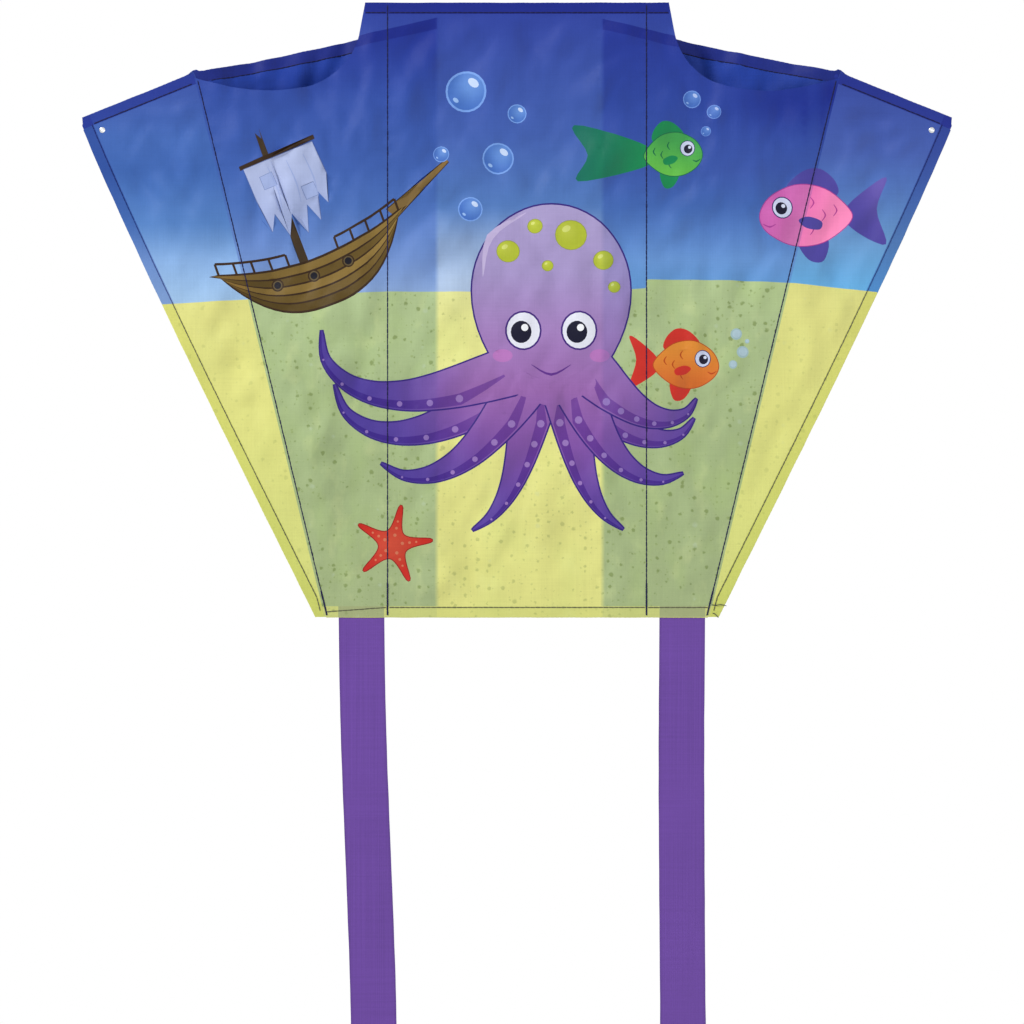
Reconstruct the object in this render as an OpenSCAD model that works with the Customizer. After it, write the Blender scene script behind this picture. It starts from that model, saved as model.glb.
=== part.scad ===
// Pocket sled kite: one printed sheet of light nylon with a pocket tunnel behind each side, a
// triangular keel beyond each tunnel and two ribbon tails. It hangs upright from the middle of its
// leading edge, which is the origin, with the printed face towards -Y and the tunnels behind it at +Y.

/* [Sail] */
// Height from the leading edge to the trailing edge
sail_height = 341.4; // [320:0.1:360]
// Length of the leading edge hem
leading_edge_length = 169; // [160:0.5:172]
// Distance of a shoulder, where the leading edge turns into the scoop, from the centre line
shoulder_x = 88; // [86.5:0.5:92]
// Drop of a shoulder below the leading edge
shoulder_drop = 18; // [14:0.5:22]
// Half width of the trailing edge at its corners
bottom_corner_x = 111.8; // [109.5:0.1:116]
// Width of the folded hems
hem_width = 6; // [5:0.1:6.5]

/* [Tunnels] */
// Distance of the inner tunnel seams from the centre line
inner_seam_x = 72; // [68:0.5:74]
// Distance of the fold in the back panel, inboard of the inner seam, from the centre line
fold_x = 46; // [40:0.5:52]
// Drop of the back panel's top edge at that fold
fold_drop = 8.4; // [7:0.1:10]
// Depth of the open mouth behind the face
mouth_depth = 13; // [10:0.5:18]
// Lowest point of the scoop cut into the face below the mouth
scoop_drop = 59; // [54:0.5:62]

/* [Keels] */
// Distance of the keel seam's upper end from the centre line
keel_seam_top_x = 180; // [174:0.5:186]
// Drop of the keel seam's upper end
keel_seam_top_drop = 39; // [38:0.5:40]
// Distance of the keel seam's lower end from the centre line
keel_seam_bottom_x = 107; // [105:0.5:107.5]
// Distance of a keel's tip from the centre line
keel_tip_x = 243.2; // [236:0.1:250]
// Drop of a keel's tip
keel_tip_drop = 64.5; // [60:0.5:68]
// Distance of the bridle eyelet from the centre line
eyelet_x = 230.6; // [230:0.1:231]
// Drop of the bridle eyelet
eyelet_drop = 70.6; // [70:0.1:72]
// Bore of the bridle eyelet
eyelet_bore = 1.6; // [1.2:0.1:1.8]

/* [Tails] */
// Width of the ribbon
tail_width = 25.4; // [20:0.1:26]
// Cut length of each ribbon
tail_length = 600; // [400:5:1000]
// Distance of a tail's middle from the centre line
tail_x = 90; // [87:0.5:91]

/* [Hidden] */

$fn = 48;
LEFT = -1;
RIGHT = 1;
cloth = 0.4;                             // thickness of every cloth solid
thread_width = 0.5;
thread_height = 0.15;
hinge_gap = 0.9;                         // from a keel's hinge line to the cloth on either side of it
hem_top = sail_height - hem_width;       // drop of the trailing hem's upper edge
face_back = cloth / 2;                   // Y of the face sheet's back
mouth_slope = (keel_seam_top_drop - shoulder_drop) / (keel_seam_top_x - shoulder_x);

// The keel seam leans inwards by this much for each millimetre that it drops
seam_slope = (keel_seam_bottom_x - keel_seam_top_x) / (sail_height - keel_seam_top_drop);
seam_stretch = sqrt(1 + seam_slope * seam_slope);

// X of the keel seam at a drop, moved outwards by a distance square to the seam
function seam_x(drop, out = 0) =
    keel_seam_top_x + (drop - keel_seam_top_drop) * seam_slope + out * seam_stretch;
function seam_point(drop, out = 0) = [seam_x(drop, out), -drop];

function lerp(a, b, t) = a + (b - a) * t;
function left_of(v) = [-v.y, v.x] / norm(v);
function inset(line, d) = [for (p = line) p - d * left_of(line[1] - line[0])];
function cross2(a, b) = a.x * b.y - a.y * b.x;
function meet(l, m) =
    let (u = l[1] - l[0], w = m[1] - m[0])
    l[0] + u * cross2(m[0] - l[0], w) / cross2(u, w);
function bezier(p, steps) =
    [for (i = [0:steps])
        let (t = i / steps, s = 1 - t)
        s * s * s * p[0] + 3 * s * s * t * p[1] + 3 * s * t * t * p[2] + t * t * t * p[3]];

// Cloth lying in the XZ plane between two values of Y
module sheet(y0, y1) {
    translate([0, y1, 0]) rotate([90, 0, 0]) linear_extrude(y1 - y0) children();
}

// A run of stitching along a line, on the printed face
module stitched(line, width = thread_width, height = thread_height) {
    half = left_of(line[1] - line[0]) * width / 2;
    sheet(-face_back - height, -face_back)
        polygon([line[0] + half, line[1] + half, line[1] - half, line[0] - half]);
}

module sided(side) {
    mirror([side == LEFT ? 1 : 0, 0, 0]) children();
}

// ---- face -------------------------------------------------------------------------------------

scoop = bezier([
    [shoulder_x, -shoulder_drop],
    [shoulder_x + 6, -42],
    [shoulder_x + 34, -scoop_drop],
    seam_point(keel_seam_top_drop + 2.5, -hinge_gap)
], 14);
face_half = concat([[leading_edge_length / 2, 0]], scoop, [seam_point(sail_height, -hinge_gap)]);

module face_sail() {
    other_half = [for (i = [len(face_half) - 1:-1:0]) [-face_half[i].x, face_half[i].y]];
    color("royalblue") sheet(-face_back, face_back) polygon(concat(face_half, other_half));
}

// The leading edge is turned to the back and sewn down
module leading_edge_hem() {
    color("darkslateblue") sheet(face_back, face_back + cloth)
        translate([-leading_edge_length / 2, -hem_width])
            square([leading_edge_length, hem_width]);
}

// The trailing edge is turned up over the tunnels' closed ends and the tails' upper ends
module trailing_edge_hem() {
    half = seam_x(sail_height, -hinge_gap);
    color("khaki") difference() {
        sheet(face_back, face_back + 2 * cloth)
            translate([-half, -sail_height]) square([2 * half, hem_width]);
        for (side = [LEFT, RIGHT]) tail_tab(side);
    }
}

// ---- tunnels ----------------------------------------------------------------------------------

seam_flange = 3;                         // sewn down flat beside each seam
hem_level = hem_width / (hem_top - keel_seam_top_drop);
mouth_levels = [0, hem_level, 0.05, 0.12, 0.22, 0.36, 0.52, 0.68, 0.84, 1];

function fold_radius(v) = lerp(2.6, 0.3, v);
function fold_lift(v) = lerp(0.9, 0.05, v);
function bulge(v) = (mouth_depth - 2 * fold_radius(0)) * pow(1 - v, 0.8);
function mouth_drop(x) = fold_drop + mouth_slope * (x - fold_x);
function panel_z(x, v) = -lerp(mouth_drop(x), hem_top, v);

// Middle line of the back panel, seen from above, at a level v from the mouth (0) to the closed
// bottom (1): inner seam, fold inboard of it, then outwards again to the keel seam
function back_line(v) =
    let (
        r = fold_radius(v),
        lift = fold_lift(v),
        y0 = face_back + cloth / 2,
        end_drop = lerp(mouth_drop(keel_seam_top_x), hem_top, v),
        end_x = seam_x(end_drop, -hinge_gap - 0.3),
        turn_x = fold_x + r
    )
    concat(
        [[inner_seam_x + seam_flange, y0]],
        [for (t = [0, 0.5]) [lerp(inner_seam_x, turn_x, t), y0 + lift * t]],
        [for (a = [0:36:180]) [turn_x - r * sin(a), y0 + lift + r - r * cos(a)]],
        [for (t = [0.1:0.1:1])
            [lerp(turn_x, end_x - seam_flange, t),
             y0 + (lift + 2 * r) * (1 - pow(t, 3)) + bulge(v) * sin(180 * t)]],
        [[end_x, y0]]
    );
fold_end = 8;                            // index of the point where the fold has turned right round

function shifted(line, d) =
    [for (i = [0:len(line) - 1])
        line[i] + d * left_of(line[min(i + 1, len(line) - 1)] - line[max(i - 1, 0)])];
function cut(line, from, spare) = [for (i = [from:len(line) - 1 - spare]) line[i]];

// A layer of the back panel's shape: the panel itself, or a strip lying on it. The two distances are
// those of its inner and outer faces from the panel's middle line. A strip starts at point "from" of
// that line, and stops "spare" points before its end.
module back_layer(levels, inner, outer, from = 0, spare = 0) {
    n = len(back_line(0)) - from - spare;
    rings = [for (v = levels)
        let (
            line = back_line(v),
            mids = cut(line, from, spare),
            outs = cut(shifted(line, outer), from, spare),
            ins = cut(shifted(line, inner), from, spare)
        )
        concat(
            [for (i = [0:n - 1]) [outs[i].x, outs[i].y, panel_z(mids[i].x, v)]],
            [for (i = [n - 1:-1:0]) [ins[i].x, ins[i].y, panel_z(mids[i].x, v)]]
        )];
    size = 2 * n;
    last = (len(levels) - 1) * size;
    walls = [for (k = [0:len(levels) - 2], i = [0:size - 1])
        let (a = k * size + i, b = k * size + (i + 1) % size)
        each [[a, b, b + size], [a, b + size, a + size]]];
    caps = [for (i = [0:n - 2])
        let (j = size - 1 - i)
        each [
            [i, j, j - 1], [i, j - 1, i + 1],
            [last + i, last + j - 1, last + j], [last + i, last + i + 1, last + j - 1]
        ]];
    polyhedron([for (ring = rings) each ring], concat(walls, caps));
}

module tunnel_back(side) {
    color("mediumblue") sided(side) back_layer(mouth_levels, -cloth / 2, cloth / 2);
}

strip_gap = 0.02;                        // keeps a strip's facets out of the panel's

module mouth_hem(side) {
    near = cloth / 2 + strip_gap;
    color("darkblue") sided(side) back_layer([0, hem_level], near, near + 0.3, fold_end);
}

// It stops short of the keel seam, where the panel lies flat on the face and leaves no room for it
module mouth_thread(side) {
    near = -cloth / 2 - strip_gap;
    low = hem_level * 0.94;
    color("midnightblue") sided(side)
        back_layer([low - 0.002, low], near - thread_height, near, fold_end, 2);
}

// ---- keels ------------------------------------------------------------------------------------

tip = [keel_tip_x, -keel_tip_drop];
tip_blunt = 4;
top_line = [seam_point(keel_seam_top_drop, hinge_gap), tip];
outer_line = [tip, [bottom_corner_x, -sail_height]];
tip_top = tip - (tip - top_line[0]) / norm(tip - top_line[0]) * 1.5;
tip_outer = tip + (outer_line[1] - tip) / norm(outer_line[1] - tip) * tip_blunt;
keel_foot = seam_point(sail_height, hinge_gap);
barrel_d = eyelet_bore + 0.6;

module keel_outline() {
    polygon([top_line[0], tip_top, tip_outer, outer_line[1], keel_foot]);
}

module eyelet_hole() {
    translate([eyelet_x, 0, -eyelet_drop]) rotate([90, 0, 0])
        cylinder(h = 8, d = barrel_d, center = true);
}

module keel(side) {
    color("dodgerblue") sided(side) difference() {
        sheet(-face_back, face_back) keel_outline();
        eyelet_hole();
    }
}

// Strips along the keel's two free edges, running past its tip
module hem_strip(line) {
    past = inset(line, -1);
    low = inset(line, hem_width);
    reach = (line[1] - line[0]) / norm(line[1] - line[0]) * 2 * hem_width;
    polygon([past[0] - reach, past[1] + reach, low[1] + reach, low[0] - reach]);
}

module keel_top_hem(side) {
    color("mediumslateblue") sided(side) sheet(face_back, face_back + cloth) intersection() {
        keel_outline();
        hem_strip(top_line);
    }
}

module keel_outer_hem(side) {
    color("yellowgreen") sided(side) sheet(face_back, face_back + cloth) difference() {
        intersection() {
            keel_outline();
            hem_strip(outer_line);
        }
        hem_strip(top_line);
    }
}

// The tip's corner was folded in before the hems were, so it is one layer thicker there
module keel_tip_fold(side) {
    color("navy") sided(side) sheet(face_back + cloth, face_back + 1.5 * cloth) intersection() {
        keel_outline();
        hem_strip(top_line);
        hem_strip(outer_line);
    }
}

// Rolled eyelet: a flange on each face and a barrel through the cloth
module eyelet(side) {
    flange_d = eyelet_bore + 1.6;
    flange_t = 0.3;
    length = cloth + 2 * flange_t;
    color("gainsboro") sided(side) translate([eyelet_x, length / 2, -eyelet_drop]) rotate([90, 0, 0])
        difference() {
            union() {
                cylinder(h = length, d = barrel_d);
                cylinder(h = flange_t, d = flange_d);
                translate([0, 0, length - flange_t]) cylinder(h = flange_t, d = flange_d);
            }
            translate([0, 0, -1]) cylinder(h = length + 2, d = eyelet_bore);
        }
}

// ---- stitching --------------------------------------------------------------------------------

stitch_inset = hem_width - 0.7;          // the hems are sewn just inside their folded edge
seam_thread_in = hinge_gap + 0.8;
bartack_length = 13;
bartack_width = 1.2;
corner_gap = 0.9;                        // left open where one run of stitching crosses another

module inner_seam_thread(side) {
    color("midnightblue") sided(side)
        stitched([[inner_seam_x, -1], [inner_seam_x, bartack_length + 1 - sail_height]]);
}

module keel_seam_thread(side) {
    color("midnightblue") sided(side) stitched([
        seam_point(keel_seam_top_drop + 4, -seam_thread_in),
        seam_point(sail_height - 1, -seam_thread_in)
    ]);
}

module hem_thread(drop, half) {
    stitched([[-half, -drop], [-inner_seam_x - corner_gap, -drop]]);
    stitched([[-inner_seam_x + corner_gap, -drop], [inner_seam_x - corner_gap, -drop]]);
    stitched([[inner_seam_x + corner_gap, -drop], [half, -drop]]);
}

module leading_hem_thread() {
    color("midnightblue") hem_thread(stitch_inset, leading_edge_length / 2);
}

module trailing_hem_thread() {
    drop = sail_height - stitch_inset;
    color("darkolivegreen") hem_thread(drop, seam_x(drop, -seam_thread_in - 3 * corner_gap));
}

keel_top_stitch = inset(top_line, stitch_inset);
keel_outer_stitch = inset(outer_line, stitch_inset);
stitch_corner = meet(keel_top_stitch, keel_outer_stitch);

module keel_top_thread(side) {
    along = (keel_top_stitch[1] - keel_top_stitch[0]) / norm(keel_top_stitch[1] - keel_top_stitch[0]);
    color("midnightblue") sided(side)
        stitched([keel_top_stitch[0] + along * 2, stitch_corner - along * corner_gap]);
}

module keel_outer_thread(side) {
    along = (keel_outer_stitch[1] - keel_outer_stitch[0])
        / norm(keel_outer_stitch[1] - keel_outer_stitch[0]);
    foot = meet(keel_outer_stitch, [seam_point(100, hinge_gap + 0.5), seam_point(300, hinge_gap + 0.5)]);
    color("darkolivegreen") sided(side) stitched([stitch_corner, foot - along]);
}

// Back-and-forth tacks that lock the foot of each tunnel seam
module bartacks() {
    start = sail_height - bartack_length;
    seam_in = -seam_thread_in - 1.4;
    color("black") for (side = [LEFT, RIGHT]) sided(side) {
        stitched([[inner_seam_x, -start], [inner_seam_x, 1 - sail_height]], bartack_width, 0.3);
        stitched([seam_point(start, seam_in), seam_point(sail_height - 1, seam_in)], bartack_width, 0.3);
    }
}

// ---- tails ------------------------------------------------------------------------------------

LINKS = 4;
tail_back = face_back + cloth;           // Y of the ribbon's back: it lies between face and hem
tail_drop = sail_height + 0.6;           // drop of the tails' upper hinge line
link_gap = 0.4;                          // from a hinge line to the ribbon on either side of it
link_pitch = (tail_length - hem_width - 0.6) / LINKS;

module ribbon(side, top, bottom) {
    color("mediumpurple") sheet(face_back, tail_back)
        translate([side * tail_x - tail_width / 2, -bottom]) square([tail_width, bottom - top]);
}

module tail_tab(side) {
    ribbon(side, hem_top, sail_height);
}

module tail_link(side, i) {
    top = tail_drop + (i - 1) * link_pitch;
    ribbon(side, top + link_gap, top + link_pitch - (i < LINKS ? link_gap : 0));
}

// -----------------------------------------------------------------------------------------------

face_sail();
leading_edge_hem();
trailing_edge_hem();
tunnel_back(LEFT);  // tunnel_back_left
tunnel_back(RIGHT);  // tunnel_back_right
mouth_hem(LEFT);  // mouth_hem_left
mouth_hem(RIGHT);  // mouth_hem_right
keel(LEFT);  // keel_left
keel(RIGHT);  // keel_right
keel_top_hem(LEFT);  // keel_top_hem_left
keel_top_hem(RIGHT);  // keel_top_hem_right
keel_outer_hem(LEFT);  // keel_outer_hem_left
keel_outer_hem(RIGHT);  // keel_outer_hem_right
keel_tip_fold(LEFT);  // keel_tip_fold_left
keel_tip_fold(RIGHT);  // keel_tip_fold_right
eyelet(LEFT);  // eyelet_left
eyelet(RIGHT);  // eyelet_right
inner_seam_thread(LEFT);  // inner_seam_thread_left
inner_seam_thread(RIGHT);  // inner_seam_thread_right
keel_seam_thread(LEFT);  // keel_seam_thread_left
keel_seam_thread(RIGHT);  // keel_seam_thread_right
mouth_thread(LEFT);  // mouth_thread_left
mouth_thread(RIGHT);  // mouth_thread_right
keel_top_thread(LEFT);  // keel_top_thread_left
keel_top_thread(RIGHT);  // keel_top_thread_right
keel_outer_thread(LEFT);  // keel_outer_thread_left
keel_outer_thread(RIGHT);  // keel_outer_thread_right
leading_hem_thread();
trailing_hem_thread();
bartacks();
tail_tab(LEFT);  // tail_tab_left
tail_tab(RIGHT);  // tail_tab_right
tail_link(LEFT, 1);  // tail_left_1
tail_link(LEFT, 2);  // tail_left_2
tail_link(LEFT, 3);  // tail_left_3
tail_link(LEFT, 4);  // tail_left_4
tail_link(RIGHT, 1);  // tail_right_1
tail_link(RIGHT, 2);  // tail_right_2
tail_link(RIGHT, 3);  // tail_right_3
tail_link(RIGHT, 4);  // tail_right_4
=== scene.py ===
import math

import bpy
import numpy as np
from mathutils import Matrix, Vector, noise
from mathutils.geometry import delaunay_2d_cdt


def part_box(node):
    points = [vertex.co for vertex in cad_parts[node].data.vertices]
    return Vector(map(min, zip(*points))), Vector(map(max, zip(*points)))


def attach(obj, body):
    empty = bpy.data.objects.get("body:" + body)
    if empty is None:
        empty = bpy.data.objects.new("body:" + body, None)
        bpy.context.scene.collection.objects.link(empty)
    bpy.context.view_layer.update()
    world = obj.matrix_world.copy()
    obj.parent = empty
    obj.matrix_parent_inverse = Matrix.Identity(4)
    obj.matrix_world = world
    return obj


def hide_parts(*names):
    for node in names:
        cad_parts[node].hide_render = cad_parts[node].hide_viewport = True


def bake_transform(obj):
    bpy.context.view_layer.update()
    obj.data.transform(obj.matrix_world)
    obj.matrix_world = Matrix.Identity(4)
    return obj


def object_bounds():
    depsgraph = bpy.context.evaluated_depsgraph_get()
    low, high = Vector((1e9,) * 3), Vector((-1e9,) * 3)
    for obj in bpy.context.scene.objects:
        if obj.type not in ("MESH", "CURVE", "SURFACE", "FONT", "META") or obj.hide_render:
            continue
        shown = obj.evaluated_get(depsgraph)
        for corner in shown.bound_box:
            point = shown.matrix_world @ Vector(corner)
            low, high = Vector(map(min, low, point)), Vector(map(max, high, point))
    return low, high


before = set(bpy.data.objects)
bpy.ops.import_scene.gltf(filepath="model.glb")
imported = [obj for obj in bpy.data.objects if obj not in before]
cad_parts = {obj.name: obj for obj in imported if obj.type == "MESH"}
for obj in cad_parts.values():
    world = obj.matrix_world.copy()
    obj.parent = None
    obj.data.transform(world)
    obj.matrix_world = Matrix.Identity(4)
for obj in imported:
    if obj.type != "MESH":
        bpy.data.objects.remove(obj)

cad_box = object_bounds()

# Everything below is in millimetres and turned into metres as a piece is made. A point on the kite is
# (x, d): x from the centre line, d the drop below the leading edge, so z = -d.
MM = 0.001
# The gain brings the painted colours to this scene's light, and the gloss is what the sheen adds to them.
GAIN, GLOSS = 0.890, 0.0125


def box_mm(node):
    """The two corners of a CAD node's box."""
    return [np.array(c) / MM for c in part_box(node)]


# ---- the kite's measures ---------------------------------------------------------------------
HEIGHT = -box_mm("face_sail")[0][2]
LEAD_X = box_mm("leading_edge_hem")[1][0]
SHOULDER = (88.0, 18.0)
SEAM_TOP, SEAM_FOOT = (180.0, 39.0), (107.0, HEIGHT)
TIP, CORNER = (243.2, 64.5), (111.8, HEIGHT)
INNER_X, FOLD_X, FOLD_DROP = 72.0, 46.0, 8.4
SCOOP_DROP, SCOOP_END = 59.0, 41.5           # a scoop's lowest handle, and where it meets the slanted seam
HEM = 6.0
STITCH_IN = HEM - 0.7
HEM_TOP = HEIGHT - HEM
THREAD_IN = 1.5              # from a keel's fold to its thread, so that it folds clear of the stitches
CLOTH = 0.2                  # thickness of the cloth as shown
FRONT, BACK = -CLOTH / 2, CLOTH / 2
SLOPE = (SEAM_FOOT[0] - SEAM_TOP[0]) / (SEAM_FOOT[1] - SEAM_TOP[1])
STRETCH = math.hypot(1, SLOPE)
MOUTH_SLOPE = (SEAM_TOP[1] - SHOULDER[1]) / (SEAM_TOP[0] - SHOULDER[0])
EYELET = (230.6, 70.6)
TAIL_WIDTH, TAIL_X = 25.4, 90.0
TAIL_SHIFT = {"left": 3.3, "right": 2.0}     # the ribbons were not sewn on quite evenly
SIDES = {"left": -1, "right": 1}


def lerp(a, b, t):
    """From a at t = 0 to b at t = 1."""
    return a + (b - a) * t


def smooth(t):
    """From 0 to 1, flat at both ends."""
    t = np.clip(t, 0, 1)
    return t * t * (3 - 2 * t)


def seam_x(d):
    """How far from the centre line the slanted seams lie at a drop."""
    return SEAM_TOP[0] + (d - SEAM_TOP[1]) * SLOPE


def mouth_drop(x):
    """The drop of a tunnel mouth's edge at a distance from the centre line."""
    return FOLD_DROP + MOUTH_SLOPE * (x - FOLD_X)


def perlin(x, y, z=0.0):
    """Smooth noise at each place."""
    x, y = np.broadcast_arrays(np.asarray(x, float), np.asarray(y, float))
    flat = [noise.noise(Vector((a, b, z))) for a, b in zip(x.ravel(), y.ravel())]
    return np.array(flat).reshape(x.shape)


def unit(v):
    """Vectors along the last axis, each made one long."""
    return v / np.linalg.norm(v, axis=-1, keepdims=True)


def line_distance(p, a, b):
    """Signed distance of points from the line from a to b."""
    u = unit(np.subtract(b, a))
    return (p[..., 0] - a[0]) * u[1] - (p[..., 1] - a[1]) * u[0]


def to_top(p):
    """Distance inside a keel's top edge."""
    return -line_distance(p, SEAM_TOP, TIP)


BOW = 2.6                    # how far the keel's outer edge is cut round


def edge_rise(p):
    """How far out the keel's outer edge stands from the straight line, beside p."""
    a, b = np.array(TIP), np.array(CORNER)
    t = np.clip((p - a) @ (b - a) / np.sum((b - a) ** 2), 0, 1)
    return BOW * np.sin(math.pi * t ** 0.72)


def bowed(p):
    """Points given beside the straight outer edge, moved out with it."""
    u = (np.array(CORNER) - TIP) / math.dist(TIP, CORNER)
    return p + edge_rise(p)[..., None] * np.array((u[1], -u[0]))


def to_outer(p):
    """Distance inside a keel's outer edge."""
    return edge_rise(p) - line_distance(p, TIP, CORNER)


def ripple(p, side_seed):
    """Fine gathering that the stitching leaves along the seams."""
    x, d = np.abs(p[..., 0]), p[..., 1]
    run = np.sin(d * 0.62 + 2.5 * perlin(d / 17, side_seed)) * (0.6 + perlin(d / 31, side_seed + 5))
    slant = (seam_x(d) - x) / STRETCH
    near_seam = np.exp(-((x - INNER_X) / 4) ** 2) + np.exp(-(slant / 5) ** 2) * smooth(np.abs(slant))
    fade = smooth((d - HEM) / 8) * smooth((HEM_TOP - d) / 8)
    keel_fade = fade * smooth((to_top(np.stack([x, d], -1)) - HEM) / 8)
    return 0.26 * run * near_seam * np.where(slant > 0, fade, keel_fade)


def fan(p):
    """Tension folds that spread from a keel's eyelet corner towards its seam."""
    x, d = np.abs(p[..., 0]), p[..., 1]
    across, down = TIP[0] + 6 - x, d - TIP[1] + 2
    r = np.hypot(across, down)
    side_seed = 3.3 * np.sign(p[..., 0].mean())
    return 3.2 * perlin(np.arctan2(down, across) * 6.5, r / 140, side_seed) * smooth(r / 50)


def wave(p, keel=False):
    """How far the cloth's middle stands behind the plane y = 0 at the points p. Hems stay flat."""
    p = np.asarray(p, float)
    x, d = p[..., 0], p[..., 1]
    ax = np.abs(x)
    slant = (seam_x(d) - ax) / STRETCH
    q = np.stack([ax, d], -1)
    if keel:
        calm = smooth(-slant / 16) * smooth((to_top(q) - HEM) / 12) * smooth((to_outer(q) - HEM) / 12)
    else:
        beside = smooth(np.abs(ax - INNER_X) / 15) * smooth(slant / 17)
        calm = beside * smooth((d - HEM) / 12) * smooth((HEM_TOP - d) / 14)
    soft = 2.7 * perlin(x / 41, d / 66, 0.3) + 2.1 * perlin(x / 17, d / 24, 4.1)
    crease = -3.8 * np.abs(perlin((x + d) / 34, (x - d) / 80, 9.7))
    crease -= 3.1 * np.abs(perlin((x - 0.7 * d) / 21, (x + d) / 60, 5.7))
    fine = -1.8 * np.abs(perlin((x + 0.5 * d) / 12, (x - 1.2 * d) / 44, 14.4))
    drawn = fan(p) if keel else 1.2 * perlin(x / 7.5, d / 62, 7.7) * smooth((ax - INNER_X) / 20)
    return calm * (soft + crease + fine + drawn + 1.9) + ripple(p, np.where(x < 0, 3.5, 8.5))


# ---- colour ----------------------------------------------------------------------------------
def lin(c):
    """An sRGB colour of 0 to 255 as linear light for this scene."""
    c = np.clip(np.asarray(c, float) / 255, 0, 1)
    linear = np.where(c <= 0.04045, c / 12.92, ((c + 0.055) / 1.055) ** 2.4)
    return np.maximum(linear * GAIN - GLOSS, 0.003)


def table(stops, d):
    """Colours at drops, between stops of (drop, colour)."""
    at = [s[0] for s in stops]
    return np.stack([np.interp(d, at, [s[1][k] for s in stops]) for k in range(3)], -1)


# The "tunnel" colours, where a tunnel's back panel lies behind the face, are darker with the painted shade of
# that second layer.
SEA = {
    "centre": [(0, (50, 66, 154)), (33, (60, 82, 163)), (73, (69, 97, 173)), (113, (84, 122, 185)),
               (133, (139, 165, 206)), (155, (175, 196, 225))],
    "tunnel_left": [(18, (42, 58, 148)), (53, (56, 82, 163)), (93, (66, 98, 173)), (113, (75, 110, 180)),
                    (143, (113, 144, 203)), (160, (135, 163, 210))],
    "tunnel_right": [(18, (44, 60, 149)), (53, (50, 72, 156)), (93, (62, 88, 166)), (113, (68, 103, 174)),
                     (143, (104, 148, 208)), (156, (99, 149, 206))],
    "keel_left": [(45, (62, 86, 165)), (75, (69, 104, 177)), (93, (66, 103, 175)), (123, (87, 130, 193)),
                  (143, (137, 175, 224)), (165, (156, 190, 226))],
    "keel_right": [(45, (60, 78, 159)), (83, (74, 98, 174)), (103, (84, 118, 187)), (133, (106, 153, 203)),
                   (160, (104, 174, 225))],
}
SAND = {
    "centre": [(155, (226, 227, 154)), (180, (226, 226, 146)), (250, (223, 222, 138)),
               (340, (220, 220, 135))],
    "tunnel": [(155, (173, 192, 142)), (190, (168, 187, 138)), (250, (163, 181, 132)),
               (340, (163, 179, 131))],
    "keel": [(165, (219, 217, 134)), (230, (219, 219, 132)), (290, (214, 217, 129)), (340, (209, 213, 125))],
}
HORIZON = np.array([(-250, 171), (-195, 167.4), (-120, 163), (-72, 160.3), (40, 160.8), (71.5, 158.5),
                    (72.5, 153.6), (120, 154.2), (155, 155.7), (200, 160.7), (250, 166)], float)
SECOND_LAYER_SHADE = np.array((0.14, 0.11, 0.04))       # painted shade: how much the second layer behind takes from a figure's colour, as it holds back light that shows through the thin cloth


# a colour under the second layer's painted shade
def second_layer_shaded(c):
    return c * (1 - SECOND_LAYER_SHADE * c / 255)


# Painted shade where a fold caught behind the top of the right seam darkens the face, with narrow streaks of
# shadow below it: middle, reach and strength.
CAUGHT_FOLD_SHADE = [((152, 55), (30, 15), 0.24), ((175, 49), (5.5, 9), 0.20), ((170, 70), (1.6, 16), 0.12),
               ((160, 66), (1.4, 13), 0.09)]


def caught_fold_shade(p):
    """The share of each colour that the caught fold's painted shade leaves."""
    x, d = p[..., 0], p[..., 1]
    dark = sum(k * np.exp(-((x - mid_x) / reach_x) ** 2 - ((d - mid_d) / reach_d) ** 2)
               for (mid_x, mid_d), (reach_x, reach_d), k in CAUGHT_FOLD_SHADE)
    return 1 - dark[..., None] * np.array((1, 1.05, 0.38))


def base_paint(p, zone):
    """The sea and the sand."""
    side = "left" if np.mean(p[..., 0]) < 0 else "right"
    sea = SEA[zone if zone == "centre" else f"{zone}_{side}"]
    return table(sea, p[..., 1]), table(SAND[zone], p[..., 1])


def on_sand(p):
    """Which points lie below the line where the sea ends."""
    return p[:, 1] > np.interp(p[:, 0], HORIZON[:, 0], HORIZON[:, 1])


# ---- outlines --------------------------------------------------------------------------------
def spline(points, n=6, closed=True):
    """A smooth curve through points, with n steps from each to the next."""
    p = np.array(points, float)
    m, out = len(p), []
    for i in range(m if closed else m - 1):
        if closed:
            a, b, c, e = p[(i - 1) % m], p[i], p[(i + 1) % m], p[(i + 2) % m]
        else:
            a, b, c, e = p[max(i - 1, 0)], p[i], p[i + 1], p[min(i + 2, m - 1)]
        for k in range(n):
            t = k / n
            square, cube = 2 * a - 5 * b + 4 * c - e, 3 * b - a - 3 * c + e
            out.append(0.5 * (2 * b + (c - a) * t + square * t * t + cube * t**3))
    if not closed:
        out.append(p[-1])
    return np.array(out)


def ring(cx, cd, rx, rd=None, turn=0.0, n=None):
    """An ellipse round (cx, cd), turned clockwise by so many degrees."""
    rd = rx if rd is None else rd
    n = n or max(12, int(6 + 5 * math.sqrt(max(rx, rd))))
    a = np.arange(n) * 2 * math.pi / n
    c, s = math.cos(math.radians(turn)), math.sin(math.radians(turn))
    x, d = rx * np.cos(a), rd * np.sin(a)
    return np.stack([cx + x * c - d * s, cd + x * s + d * c], -1)


def limb(points, widths, n=6, side=(1.0, 1.0)):
    """A tapering band along a curve; side gives how much of the width lies on each side of it."""
    c = spline(points, n, closed=False)
    w = np.interp(np.linspace(0, len(widths) - 1, len(c)), range(len(widths)), widths) / 2
    t = unit(np.gradient(c, axis=0))
    normal = np.stack([-t[:, 1], t[:, 0]], -1) * w[:, None]
    return np.concatenate([c + normal * side[0], (c - normal * side[1])[::-1]])


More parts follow.
